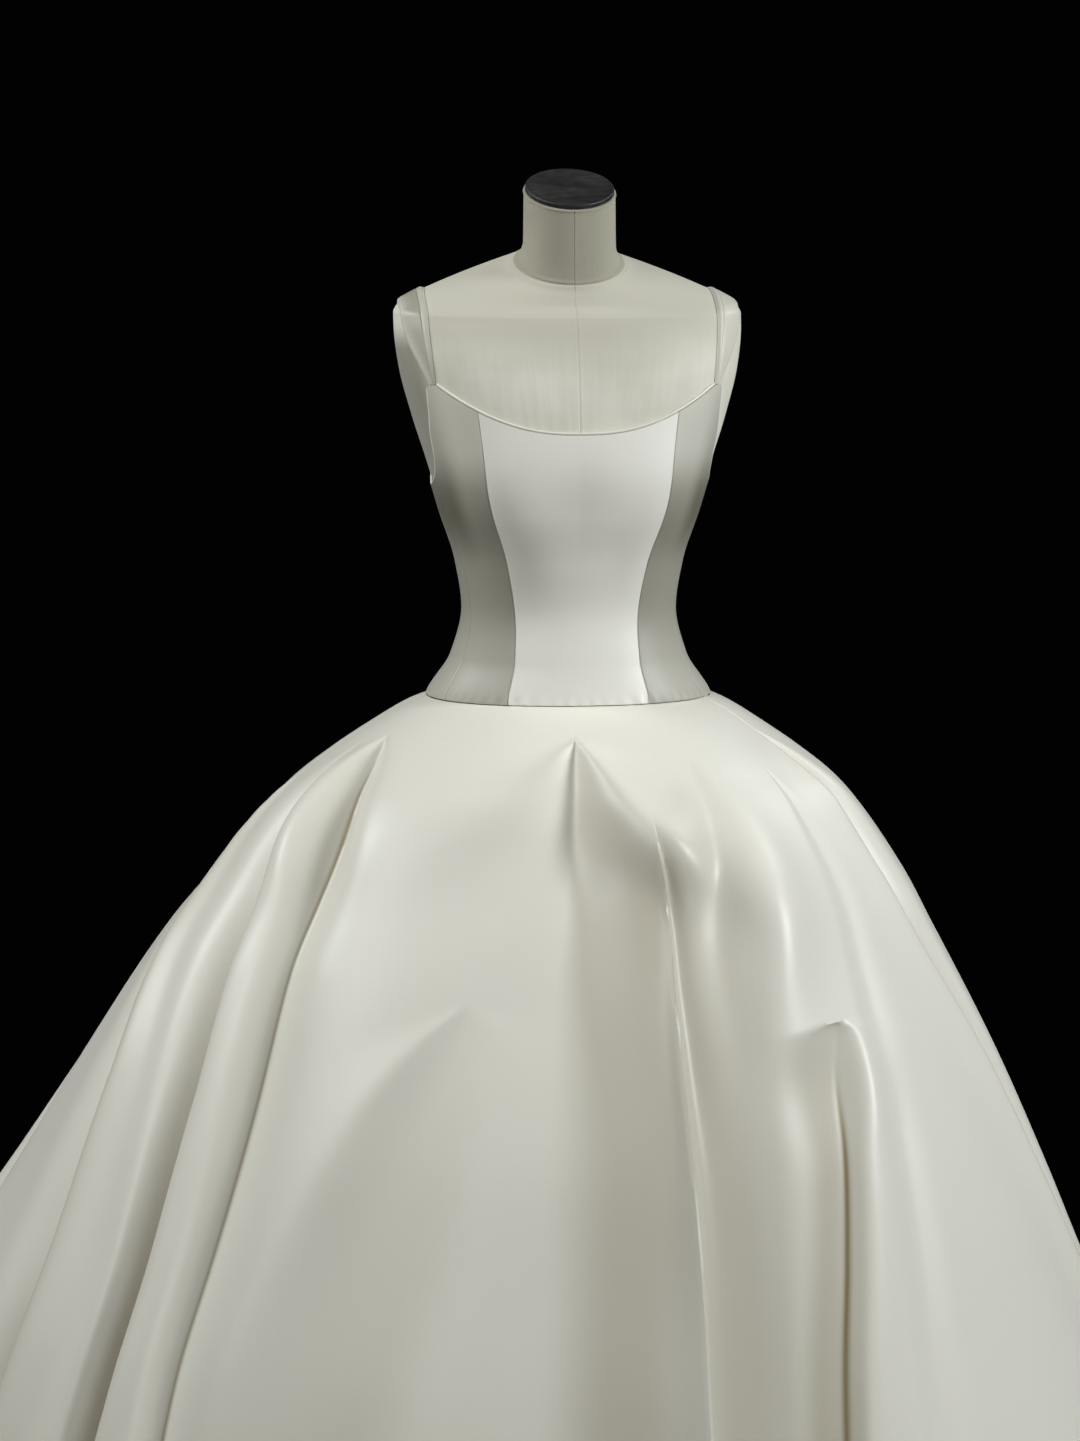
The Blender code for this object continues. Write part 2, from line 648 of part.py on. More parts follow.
# One row for each fold. The turn of its valley at the hem and at four heights above it.
# The height of its tip, the drop over which it opens, its depth, how much deeper it is in the
# hollow under its tip, and how far down that hollow is. The width of its left and right
# bank, how much narrower they get, and the drop over which they do. The height of the roll
# at the end of each bank, as a share of the depth. The radius of its valley and of its one
# crisp roll (+ is the right one), and how far that roll leans over the valley.
FOLD_COLUMNS = (
    "name", "hem", "low", "middle", "high", "top", "tip", "run", "depth", "hollow", "drop",
    "left", "right", "close", "closing", "roll_left", "roll_right", "crease", "crisp", "lean",
)
FOLD_HEIGHTS = (0.0, 0.35, 0.60, 0.80, 0.95)
FOLDS = [dict(zip(FOLD_COLUMNS, row)) for row in (
    ("left_side", -88, -93, -101, -110, -112, 0.90, 0.20, 0.045, 0.0, 0.10,
     0.040, 0.070, 0.0, 1.0, 0.35, 0.30, 0.004, -0.006, 0.0),
    ("left_roll", -58, -66, -76.5, -91, -99, 0.90, 0.20, 0.060, 0.0, 0.10,
     0.032, 0.070, 0.0, 1.0, 0.35, 0.30, 0.002, -0.005, 0.006),
    ("left_slit", -39.5, -45.7, -53, -63.5, -76, 0.93, 0.10, 0.065, 0.0, 0.10,
     0.060, 0.032, 0.65, 0.40, 0.25, 0.15, 0.002, 0.0, 0.0),
    ("left_edge", -30, -38.3, -44, -53, -65, 0.935, 0.04, 0.014, 1.6, 0.12,
     0.045, 0.024, 0.0, 1.0, 0.10, 0.80, 0.003, 0.005, 0.006),
    ("left_swale", -26, -22.5, -20.5, -19, -18.8, 0.78, 0.30, 0.075, 0.0, 0.10,
     0.130, 0.120, 0.0, 1.0, 0.05, 0.25, 0.045, 0.0, 0.0),
    ("centre_arch", 1.5, 0.0, -0.9, -2.8, -2.3, 0.945, 0.030, 0.040, 0.4, 0.09,
     0.080, 0.046, -1.1, 0.30, 0.0, 0.90, 0.004, 0.014, 0.004),
    ("shade", 13.5, 14.3, 15.2, 17.3, 19, 0.75, 0.07, 0.095, 0.0, 0.10,
     0.028, 0.180, 0.0, 1.0, 0.08, 0.12, 0.008, -0.004, 0.0),
    ("right_arch", 17, 19, 21, 24.5, 32, 0.935, 0.04, 0.003, 8.0, 0.10,
     0.060, 0.034, 0.0, 1.0, 0.10, 0.70, 0.006, 0.006, 0.003),
    ("right_slit", 19.5, 25, 30.8, 31.5, 38, 0.685, 0.035, 0.016, 0.3, 0.060,
     0.100, 0.075, 0.65, 0.14, 0.0, 1.80, 0.005, 0.006, 0.004),
    ("right_crease", 27, 32, 37.8, 44.5, 47, 0.91, 0.08, 0.011, 0.0, 0.10,
     0.022, 0.034, 0.0, 1.0, 0.20, 0.50, 0.006, 0.003, 0.0),
    ("right_edge", 83, 75, 69.8, 64, 64.5, 0.94, 0.04, 0.036, 0.7, 0.05,
     0.024, 0.045, 0.0, 1.0, 0.35, 0.20, 0.002, -0.003, 0.010),
    ("right_side", 113, 110, 107, 104, 100, 0.91, 0.20, 0.040, 0.0, 0.10,
     0.060, 0.055, 0.0, 1.0, 0.30, 0.30, 0.006, 0.0, 0.0),
    ("right_rear", 139, 136, 133, 131, 128, 0.93, 0.10, 0.040, 0.4, 0.09,
     0.030, 0.070, 0.0, 1.0, 0.35, 0.30, 0.003, -0.004, 0.008),
    ("back_right", 161, 160, 158, 156, 153, 0.90, 0.20, 0.034, 0.0, 0.10,
     0.060, 0.045, 0.0, 1.0, 0.30, 0.30, 0.006, 0.004, 0.0),
    ("back", 181, 181, 180, 180, 180, 0.94, 0.08, 0.036, 0.5, 0.09,
     0.045, 0.055, 0.0, 1.0, 0.30, 0.35, 0.004, 0.004, 0.0),
    ("back_left", 202, 203, 205, 206, 208, 0.88, 0.20, 0.034, 0.0, 0.10,
     0.040, 0.065, 0.0, 1.0, 0.30, 0.30, 0.006, -0.004, 0.0),
    ("left_rear", 227, 229, 231, 232, 234, 0.93, 0.10, 0.042, 0.4, 0.09,
     0.070, 0.030, 0.0, 1.0, 0.30, 0.35, 0.003, 0.003, 0.010),
    ("left_rear_crease", 247, 245, 243, 243, 244, 0.80, 0.20, 0.018, 0.0, 0.10,
     0.035, 0.026, 0.0, 1.0, 0.30, 0.40, 0.004, 0.003, 0.0),
)]
ROLL_FALL = 1.3             # how far a roll falls away again, as a share of its bank
SOFT_ROLL = 0.22            # the radius of a soft roll, as a share of its bank
SOFT_TAIL = 0.45            # the radius where a roll ends, as a share of its bank
LEAN_SPAN = 0.9             # how wide a leaning roll is, as a share of its bank
SQUARE_FROM = 0.9           # height above which the dome grows squarer, towards the waist
TOP_SQUARE = 0.2
SLOPE_STEP = 0.0004         # steps over which the cloth's slope is taken
SLOPE_TURN = 0.05
FOLD_CLOSED = 0.001         # what is left of a fold above its tip
HOLLOW_SPAN = 0.7           # how long the hollow is, as a share of its drop
SKIRT_SEAM_FOLDS = ("left_roll", "right_edge", "right_rear", "back", "left_rear")
SKIRT_PANELS = (
    "skirt_side_left", "skirt_back_left", "skirt_back_right",
    "skirt_side_right", "skirt_front",
)
SKIRT_COLUMNS = 124
SEAM_CLEAR = 1.0            # turn kept free of columns beside a seam
LEAST_STEP = 1.2            # smallest turn between two columns
LOW_RADIUS = 0.60           # of the skirt where the folds' own columns are set out
SKIRT_HEIGHTS = (
    HEM, 0.13, 0.26, 0.38, 0.49, 0.59, 0.67, 0.74, 0.80,
    0.850, 0.890, 0.920, 0.944, 0.961, SKIRT_TOP,
)


def fold_turn(fold, height):
    """The turn of a fold's valley at a height."""
    heights = Profile(
        ("height", "turn"),
        tuple(zip(FOLD_HEIGHTS, (fold[name] for name in FOLD_COLUMNS[1:6]))),
    )
    return heights.at("turn", height)


def fold_sizes(fold, height):
    """At a height, how far a fold has opened, its left and right bank and its depth."""
    below = max(fold["tip"] - height, 0.0)
    grown = max(1.0 - math.exp(-below / fold["run"]), FOLD_CLOSED)
    hollow = bump_at(below - fold["drop"], HOLLOW_SPAN * fold["drop"])
    opened = grown * (1.0 - fold["close"] * ramp(below, 0.0, fold["closing"]))
    depth = fold["depth"] * grown * (1.0 + fold["hollow"] * hollow)
    return grown, fold["left"] * opened, fold["right"] * opened, depth


def soft_corner(reach, radius):
    """The height past a corner of slope 1 that is rounded off."""
    return radius * math.log1p(math.exp(min(reach / radius, 30.0))) + max(reach - 30.0 * radius, 0.0)


def fold_corners(fold, height):
    """The corners of a fold's section: place, radius and change of slope of each."""
    grown, left, right, depth = fold_sizes(fold, height)
    crisp = fold["crisp"] * grown
    corners = (
        (-left * (1 + ROLL_FALL), 0.0, SOFT_TAIL * left),
        (-left, fold["roll_left"] * depth, -crisp if crisp < 0.0 else SOFT_ROLL * left),
        (0.0, -depth, fold["crease"] * grown),
        (right, fold["roll_right"] * depth, crisp if crisp > 0.0 else SOFT_ROLL * right),
        (right * (1 + ROLL_FALL), 0.0, SOFT_TAIL * right),
    )
    slopes = [0.0]
    for (place, rise, _), (next_place, next_rise, _) in zip(corners, corners[1:]):
        slopes.append((next_rise - rise) / (next_place - place))
    slopes.append(0.0)
    return [
        (place, radius, after - before)
        for (place, _, radius), before, after in zip(corners, slopes, slopes[1:])
    ]


class SkirtRing:
    """The skirt's outside at one height. Cloth turns follow the folds down the skirt."""

    def __init__(self, height):
        self.height = height
        self.sizes = [DOME.at(n, height) for n in ("half_width", "front", "back", "side_y")]
        self.shift = DOME.at("shift", height)
        squaring = max(0.0, (height - SQUARE_FROM) / (SKIRT_TOP - SQUARE_FROM))
        self.square = 2.0 + TOP_SQUARE * squaring
        self.folds = []
        pairs = []
        for fold in FOLDS:
            turn = fold_turn(fold, height)
            lap = fold["low"] % 360.0 - fold["low"]
            pairs.append((fold["low"] + lap, turn + lap))
            grown, left, right, _ = fold_sizes(fold, height)
            side = math.copysign(1.0, fold["crisp"])
            bank = right if side > 0.0 else left
            lean = (side * fold["lean"] * grown, side * bank, LEAN_SPAN * bank)
            self.folds.append((turn, fold_corners(fold, height), lean))
        pairs.sort()
        around = [(cloth - 360.0, turn - 360.0) for cloth, turn in pairs[-2:]] + pairs
        around += [(cloth + 360.0, turn + 360.0) for cloth, turn in pairs[:2]]
        self.warp = Profile(("cloth", "turn"), tuple(around))

    def point(self, cloth_turn):
        """The point of the ring that this line of the cloth passes through."""
        turn = self.warp.at("turn", cloth_turn % 360.0)
        radius = Vector(section_point(turn, *self.sizes, self.square)).length
        rise = 0.0
        slide = 0.0
        for valley, corners, (lean, crest, span) in self.folds:
            off = (turn - valley + 180.0) % 360.0 - 180.0
            reach = math.radians(off) * radius
            rise += sum(
                bend * soft_corner(reach - place, softness) for place, softness, bend in corners
            )
            slide -= lean * bump_at(reach - crest, span)
        turn += math.degrees(slide / radius)
        x, y = section_point(turn, *self.sizes, self.square, rise)
        return Vector((x + self.shift, y, self.height))


def skirt_rings(height):
    """The ring at a height, with one just above and one just below for its slope."""
    top = min(height + SLOPE_STEP, SKIRT_TOP)
    return SkirtRing(height), SkirtRing(top), SkirtRing(max(height - SLOPE_STEP, HEM))


def skirt_wall_points(rings, cloth_turn):
    """The outer and inner point of the skirt's wall on one line of the cloth."""
    ring, above, below = rings
    along = ring.point(cloth_turn + SLOPE_TURN) - ring.point(cloth_turn - SLOPE_TURN)
    up = above.point(cloth_turn) - below.point(cloth_turn)
    normal = along.cross(up).normalized()
    outer = ring.point(cloth_turn)
    return outer, outer - normal * SKIRT_CLOTH


def cloth_columns(count):
    """Cloth turns round the skirt: each fold's valley and rolls, then the widest gaps split."""
    wanted = []
    for fold in FOLDS:
        wanted.append(fold["low"] % 360.0)
        for bank in (-fold["left"], fold["right"]):
            wanted.append((fold["low"] + math.degrees(bank / LOW_RADIUS)) % 360.0)
    columns = []
    for turn in sorted(wanted):
        if not columns or turn - columns[-1] > LEAST_STEP:
            columns.append(turn)
    while len(columns) < count:
        gaps = [b - a for a, b in zip(columns, columns[1:] + [columns[0] + 360.0])]
        widest = gaps.index(max(gaps))
        columns.insert(widest + 1, columns[widest] + gaps[widest] / 2)
    return columns


def build_skirt(satin):
    """Five panels between seams that lie in the valleys of folds."""
    seams = [fold["low"] % 360.0 for fold in FOLDS if fold["name"] in SKIRT_SEAM_FOLDS]
    seams.sort()
    columns = cloth_columns(SKIRT_COLUMNS)
    levels = [skirt_rings(height) for height in SKIRT_HEIGHTS]
    for name, start, end in zip(SKIRT_PANELS, seams, seams[1:] + [seams[0] + 360.0]):
        turns = [c + lap for lap in (0.0, 360.0) for c in columns]
        turns = [c for c in turns if start + SEAM_CLEAR < c < end - SEAM_CLEAR]
        outer = []
        inner = []
        for rings in levels:
            gap = math.degrees(SEAM_GAP / 2 / rings[0].sizes[0])
            row = [start + gap] + turns + [end - gap]
            pairs = [skirt_wall_points(rings, turn) for turn in row]
            outer.append([pair[0] for pair in pairs])
            inner.append([pair[1] for pair in pairs])
        wall(name, outer, inner, satin)


def build():
    """Clear the scene and build every piece."""
    for old in list(bpy.data.objects):
        bpy.data.objects.remove(old)
    linen = material("form_linen", (0.58, 0.56, 0.46), 0.85)
    dark = material("neck_cap_dark", (0.022, 0.020, 0.020), 0.45)
    steel = material("stand_steel", (0.45, 0.45, 0.46), 0.35, 1.0)
    iron = material("stand_iron", (0.03, 0.03, 0.032), 0.5, 1.0)
    front_satin = material("bodice_front_satin", (0.74, 0.74, 0.69), 0.45)
    side_satin = material("bodice_side_satin", (0.62, 0.61, 0.53), 0.5)
    edge_satin = material("binding_satin", (0.78, 0.77, 0.70), 0.45)
    skirt_satin = material("skirt_satin", (0.76, 0.76, 0.70), 0.4)
    build_form(linen)
    build_neck_cap(dark)
    build_stand(steel, iron)
    build_bodice(front_satin, side_satin)
    build_bindings(edge_satin)
    build_straps(edge_satin)
    build_skirt(skirt_satin)


build()
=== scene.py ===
"""A duchess satin ball gown on a limbless dress form, in metres.

The gown's front faces -Y and +X is the wearer's left. Cloth is laid as thin shells on the
same surfaces as the solids: the form's skin, lifted, and the skirt's folded dome.
"""

import math

import bpy
import numpy as np
from mathutils import Matrix, Vector


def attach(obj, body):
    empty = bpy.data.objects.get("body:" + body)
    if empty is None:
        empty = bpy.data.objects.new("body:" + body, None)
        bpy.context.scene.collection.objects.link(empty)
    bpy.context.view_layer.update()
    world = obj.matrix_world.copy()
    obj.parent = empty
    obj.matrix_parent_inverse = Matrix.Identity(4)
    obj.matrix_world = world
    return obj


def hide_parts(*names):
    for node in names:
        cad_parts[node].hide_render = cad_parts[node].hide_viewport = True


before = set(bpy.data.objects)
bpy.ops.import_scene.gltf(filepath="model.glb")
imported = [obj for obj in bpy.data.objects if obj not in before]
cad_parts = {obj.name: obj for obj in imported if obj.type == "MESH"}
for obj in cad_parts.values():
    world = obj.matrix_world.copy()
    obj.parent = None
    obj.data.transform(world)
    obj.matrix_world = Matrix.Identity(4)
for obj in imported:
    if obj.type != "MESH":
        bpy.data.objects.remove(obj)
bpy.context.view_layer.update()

# ---- sizes shared with the solids ---------------------------------------------------

BODICE_CLOTH = 0.0018       # thickness of the bodice and the straps
SKIRT_CLOTH = 0.0020        # and of the skirt
SEAM_GAP = 0.0003           # between two pieces at a seam
EASE = 0.0014               # from the form's skin to the inside of the bodice and straps

WAIST_SEAM = 0.9730         # levels, from the floor up
SKIRT_TOP = WAIST_SEAM - SEAM_GAP
HEM = 0.0040

NECK_EDGE_FRONT = 1.2620    # the lowest points of the neckline
NECK_EDGE_BACK = 1.2550
FRONT_CORNER = 1.3145       # where the straps leave the bodice
BACK_CORNER = 1.3050
NECK_CURVE_FRONT = 2.7      # how late the neckline climbs to its corners
NECK_CURVE_BACK = 2.2

STRAP_INNER_RIDGE = 0.157   # how far out each edge of a strap is on top of the shoulder
STRAP_OUTER_RIDGE = 0.186
STRAP_BAND_SHARE = 0.26     # the band's share of the strap's width
STRAP_AIM = np.array((0.0, 0.020, 1.300))    # the point inside the chest that straps go round
STRAP_REACH = 0.25          # farther from that point than the form's skin is

FORM_FOOT = 0.800           # the torso's lower end, under the skirt
SHOULDER_SHADE_LEVELS = (1.366, 1.412)    # painted shade on the form's cover sets in between these levels
NECK_SEAM = 1.4440          # the seam between the shoulders and the neck
NECK_TOP = 1.5215

# ---- curves through short tables ----------------------------------------------------


class Profile:
    """A short table read at any keys, by a smooth curve that never overshoots its rows."""

    def __init__(self, columns, rows):
        table = np.array(rows, float)
        self.keys = table[:, 0]
        self.values = {name: table[:, i] for i, name in enumerate(columns)}
        self.slopes = {name: self.slopes_of(v) for name, v in self.values.items()}

    def slopes_of(self, values):
        """The curve's slope at each row, flat where the values turn."""
        steps = np.diff(values) / np.diff(self.keys)
        before, after = steps[:-1], steps[1:]
        same_way = before * after > 0.0
        total = np.where(same_way, before + after, 1.0)
        inner = np.where(same_way, 2.0 * before * after / total, 0.0)
        return np.concatenate(([steps[0]], inner, [steps[-1]]))

    def at(self, name, key):
        """Read one column at any number of keys."""
        values, slopes = self.values[name], self.slopes[name]
        key = np.clip(key, self.keys[0], self.keys[-1])
        i = np.clip(np.searchsorted(self.keys, key) - 1, 0, len(self.keys) - 2)
        width = self.keys[i + 1] - self.keys[i]
        t = (key - self.keys[i]) / width
        start = values[i] * (1 + 2 * t) + slopes[i] * width * t
        end = values[i + 1] * (3 - 2 * t) - slopes[i + 1] * width * (1 - t)
        return start * (1 - t) ** 2 + end * t**2


def mix(a, b, share):
    """A value between two others."""
    return a + (b - a) * share


def bump_at(distance, width):
    """A soft rise of height 1, fading over a width."""
    return np.exp(-((distance / width) ** 2))


def ramp(value, start, end):
    """0 before start, 1 after end, smooth between."""
    t = np.clip((value - start) / (end - start), 0.0, 1.0)
    return t * t * (3 - 2 * t)


def unit(vectors):
    """Vectors scaled to length 1."""
    return vectors / np.linalg.norm(vectors, axis=-1, keepdims=True)


def spaced(start, end, count, *fine_spots):
    """Values from start to end, closer together at (place, width, times finer) spots."""
    fine = np.linspace(start, end, 4001)
    weight = np.ones_like(fine)
    for place, width, times in fine_spots:
        weight += (times - 1.0) * bump_at(fine - place, width)
    passed = np.concatenate(([0.0], np.cumsum((weight[1:] + weight[:-1]) / 2)))
    return np.interp(np.linspace(0.0, passed[-1], count), passed, fine)


# ---- the form's skin ----------------------------------------------------------------

TORSO = Profile(
    ("level", "half_width", "front", "back", "side_y", "square", "tip"),
    (
        (0.8000, 0.1600, 0.1120, 0.1340, 0.012, 2.20, 0.00),
        (0.8700, 0.1700, 0.1180, 0.1420, 0.012, 2.20, 0.00),
        (0.9300, 0.1660, 0.1150, 0.1360, 0.010, 2.20, 0.00),
        (0.9730, 0.1550, 0.1080, 0.1220, 0.008, 2.20, 0.00),
        (1.0170, 0.1280, 0.0980, 0.0990, 0.006, 2.15, 0.00),
        (1.0700, 0.1155, 0.0900, 0.0860, 0.004, 2.10, 0.00),
        (1.1230, 0.1230, 0.0980, 0.0900, 0.004, 2.15, 0.00),
        (1.1760, 0.1400, 0.1100, 0.0990, 0.004, 2.25, 0.00),
        (1.2290, 0.1555, 0.1160, 0.1080, 0.006, 2.35, 0.00),
        (1.2810, 0.1720, 0.1100, 0.1140, 0.010, 2.45, 0.00),
        (1.3330, 0.1855, 0.0960, 0.1160, 0.014, 2.50, 0.00),
        (1.3720, 0.1905, 0.0820, 0.1100, 0.018, 2.40, 0.03),
        (1.3900, 0.1910, 0.0743, 0.1030, 0.020, 2.30, 0.08),
        (1.3980, 0.1860, 0.0713, 0.0980, 0.020, 2.20, 0.14),
        (1.4050, 0.1725, 0.0685, 0.0920, 0.019, 2.10, 0.20),
        (1.4180, 0.1375, 0.0625, 0.0800, 0.015, 2.00, 0.32),
        (1.4310, 0.0970, 0.0574, 0.0670, 0.010, 2.00, 0.42),
        (1.4400, 0.0690, 0.0530, 0.0590, 0.006, 2.00, 0.46),
        (1.4500, 0.0550, 0.0505, 0.0530, 0.003, 2.00, 0.46),
        (1.4650, 0.0505, 0.0495, 0.0495, 0.000, 2.00, 0.45),
        (1.5215, 0.0498, 0.0490, 0.0490, 0.000, 2.00, 0.45),
    ),
)
BUST_RISE = 0.009           # how far the bust stands out from these sections
BUST_LEVEL = 1.190
BUST_TURN = 33.0
BUST_HEIGHT = 0.050
BUST_SPAN = 20.0


def section_reach(turn, square):
    """How far a squared-off circle of radius 1 reaches at a turn."""
    across = np.abs(np.sin(np.radians(turn)))
    ahead = np.abs(np.cos(np.radians(turn)))
    return (across**square + ahead**square) ** (-1.0 / square)


def section_point(turn, half_width, front, back, side_y, square, rise=0.0):
    """X and Y on a level section. Turn is in degrees, from the front towards +X."""
    across = np.sin(np.radians(turn))
    ahead = np.cos(np.radians(turn))
    reach = section_reach(turn, square)
    depth = np.where(ahead > 0.0, front + side_y, back - side_y)
    return across * (half_width * reach + rise), side_y - ahead * (depth * reach + rise)


def torso_point(turn, level):
    """Points on the form's skin."""
    turn = (turn + 180.0) % 360.0 - 180.0
    off_bust = ((np.abs(turn) - BUST_TURN) / BUST_SPAN) ** 2
    off_bust = off_bust + ((level - BUST_LEVEL) / BUST_HEIGHT) ** 2
    names = ("half_width", "front", "back", "side_y", "square")
    sizes = [TORSO.at(name, level) for name in names]
    x, y = section_point(turn, *sizes, rise=BUST_RISE * np.exp(-off_bust))
    return np.stack(np.broadcast_arrays(x, y, level + TORSO.at("tip", level) * y), -1)


def torso_normal(turn, level):
    """The outward direction of the form's skin."""
    along_turn = torso_point(turn + 0.5, level) - torso_point(turn - 0.5, level)
    along_level = torso_point(turn, level + 0.0008) - torso_point(turn, level - 0.0008)
    return unit(np.cross(along_turn, along_level))


def on_torso(turn, level, lift):
    """Points at a distance outside the form's skin."""
    return torso_point(turn, level) + torso_normal(turn, level) * np.asarray(lift)[..., None]


def inside_torso(point):
    """Whether points of the chest or shoulders are inside the form."""
    x, y, z = point[..., 0], point[..., 1], point[..., 2]
    level = z
    for _ in range(8):
        level = z - TORSO.at("tip", level) * y
    side_y = TORSO.at("side_y", level)
    depth = np.where(
        y > side_y, TORSO.at("back", level) - side_y, TORSO.at("front", level) + side_y
    )
    square = TORSO.at("square", level)
    across = np.abs(x / TORSO.at("half_width", level)) ** square
    return across + np.abs((side_y - y) / depth) ** square < 1.0


# ---- meshes -------------------------------------------------------------------------


def add_piece(name, points, faces, uv, surface, sharp_degrees=42.0):
    """Make one piece of the object. UV is in metres of cloth, for the threads."""
    mesh = bpy.data.meshes.new(name)
    mesh.from_pydata(points.tolist(), [], faces)
    layer = mesh.uv_layers.new(name="cloth")
    corners = np.empty(len(mesh.loops), dtype=np.int32)
    mesh.loops.foreach_get("vertex_index", corners)
    layer.data.foreach_set("uv", uv[corners].astype(np.float32).ravel())
    mesh.materials.append(surface)
    mesh.shade_smooth()
    mesh.set_sharp_from_angle(angle=math.radians(sharp_degrees))
    piece = bpy.data.objects.new(name, mesh)
    bpy.context.scene.collection.objects.link(piece)
    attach(piece, "root")
    return piece


def store_painted_shade(piece, dark, both_sides=True):
    """Store how much painted shade a piece has at its points, on both sides of a shell."""
    layer = piece.data.attributes.new("painted_shade_share", "FLOAT", "POINT")
    values = [dark.ravel(), dark[::2, ::2].ravel()] if both_sides else [dark.ravel()]
    layer.data.foreach_set("value", np.concatenate(values).astype(np.float32))


def grid_faces(rows, columns, first=0, flip=False):
    """Quads over a grid of points, as a list."""
    a = (np.arange(rows - 1)[:, None] * columns + np.arange(columns - 1)).ravel() + first
    ring = (a, a + 1, a + columns + 1, a + columns)
    return np.stack(ring[::-1] if flip else ring, -1).tolist()


def cloth_shell(name, outer, inner, uv, surface):
    """A thin closed shell. Its inner side has every other row and column of the outer."""
    rows, columns = outer.shape[:2]
    lining = inner[::2, ::2]
    points = np.concatenate((outer.reshape(-1, 3), lining.reshape(-1, 3)))
    both_uv = np.concatenate((uv.reshape(-1, 2), uv[::2, ::2].reshape(-1, 2)))
    back = rows * columns
    half = (columns + 1) // 2
    faces = grid_faces(rows, columns)
    faces += grid_faces(lining.shape[0], half, back, flip=True)
    rim = [(0, c) for c in range(columns)]
    rim += [(r, columns - 1) for r in range(1, rows)]
    rim += [(rows - 1, c) for c in range(columns - 2, -1, -1)]
    rim += [(r, 0) for r in range(rows - 2, -1, -1)]
    for i in range(0, len(rim) - 2, 2):
        (r0, c0), (r1, c1), (r2, c2) = rim[i : i + 3]
        near = back + (r0 // 2) * half + c0 // 2
        far = back + (r2 // 2) * half + c2 // 2
        edge = (r2 * columns + c2, r1 * columns + c1, r0 * columns + c0)
        faces.append((*edge, near, far))
    return add_piece(name, points, faces, both_uv, surface)


def tube(name, rings, surface, sharp_degrees=42.0):
    """A solid through rings of points, seen from outside as running up or along."""
    count, around = rings.shape[:2]
    a = np.arange(count - 1)[:, None] * around + np.arange(around)
    b = np.arange(count - 1)[:, None] * around + (np.arange(around) + 1) % around
    faces = np.stack((a, b, b + around, a + around), -1).reshape(-1, 4).tolist()
    faces.append(tuple(range(around - 1, -1, -1)))
    faces.append(tuple(range((count - 1) * around, count * around)))
    steps = np.linalg.norm(np.diff(rings, axis=0), axis=-1).mean(1)
    along = np.concatenate(([0.0], np.cumsum(steps)))
    girth = np.linalg.norm(rings - np.roll(rings, 1, 1), axis=-1).sum(1).mean()
    v, u = np.meshgrid(along, np.linspace(0.0, girth, around), indexing="ij")
    uv = np.stack((u, v), -1).reshape(-1, 2)
    points = rings.reshape(-1, 3)
    return add_piece(name, points, faces, uv, surface, sharp_degrees)


def mirrored(grid):
    """A grid of points on the -X side, its columns turned round so that it faces out."""
    flipped = grid[:, ::-1].copy()
    flipped[..., 0] *= -1.0
    return flipped


# ---- shader parts -------------------------------------------------------------------


def node_group(name, inputs, outputs):
    """An empty shader node group with named value, colour or vector sockets."""
    group = bpy.data.node_groups.new(name, "ShaderNodeTree")
    for socket, kind, value in inputs:
        made = group.interface.new_socket(socket, in_out="INPUT", socket_type=kind)
        if value is not None:
            made.default_value = value
    for socket, kind in outputs:
        group.interface.new_socket(socket, in_out="OUTPUT", socket_type=kind)
    start = group.nodes.new("NodeGroupInput")
    end = group.nodes.new("NodeGroupOutput")
    return group, start.outputs, end.inputs


def math_node(tree, operation, a, b):
    """A Math node fed by values or sockets."""
    made = tree.nodes.new("ShaderNodeMath")
    made.operation = operation
    for socket, value in zip(made.inputs, (a, b)):
        if isinstance(value, (int, float)):
            socket.default_value = value
        else:
            tree.links.new(value, socket)
    return made.outputs[0]


def noise_node(tree, vector, scale, detail=2.0):
    """A Noise node's value."""
    made = tree.nodes.new("ShaderNodeTexNoise")
    made.inputs["Scale"].default_value = scale
    made.inputs["Detail"].default_value = detail
    tree.links.new(vector, made.inputs["Vector"])
    return made.outputs["Fac"]


def stretched(tree, vector, across, along):
    """The cloth's coordinates, scaled differently across and along the threads."""
    made = tree.nodes.new("ShaderNodeVectorMath")
    made.operation = "MULTIPLY"
    tree.links.new(vector, made.inputs[0])
    made.inputs[1].default_value = (across, along, 1.0)
    return made.outputs[0]


def thread_group():
    """Uneven warp and weft threads: a height for bump and a faint change of tone."""
    group, given, made = node_group(
        "uneven_threads",
        (
            ("Cloth", "NodeSocketVector", None),
            ("Warp", "NodeSocketFloat", 0.5),
            ("Weft", "NodeSocketFloat", 0.5),
        ),
        (("Height", "NodeSocketFloat"), ("Tone", "NodeSocketFloat")),
    )
    warp = noise_node(group, stretched(group, given["Cloth"], 1100.0, 22.0), 1.0)
    weft = noise_node(group, stretched(group, given["Cloth"], 22.0, 1100.0), 1.0)
    slub = noise_node(group, stretched(group, given["Cloth"], 260.0, 9.0), 1.0)
    threads = math_node(
        group, "ADD",
        math_node(group, "MULTIPLY", warp, given["Warp"]),
        math_node(group, "MULTIPLY", weft, given["Weft"]),
    )
    group.links.new(threads, made["Height"])
    tone = math_node(group, "ADD", math_node(group, "MULTIPLY", threads, 0.6), slub)
    group.links.new(tone, made["Tone"])
    return group


def patch_group():
    """Soft patches where a surface is a little darker, from handling and age."""
    group, given, made = node_group(
        "soft_patches",
        (("Place", "NodeSocketVector", None), ("Size", "NodeSocketFloat", 6.0)),
        (("Patch", "NodeSocketFloat"),),
    )
    noise = group.nodes.new("ShaderNodeTexNoise")
    noise.inputs["Detail"].default_value = 3.0
    group.links.new(given["Place"], noise.inputs["Vector"])
    group.links.new(given["Size"], noise.inputs["Scale"])
    group.links.new(noise.outputs["Fac"], made["Patch"])
    return group


THREADS = thread_group()
PATCHES = patch_group()


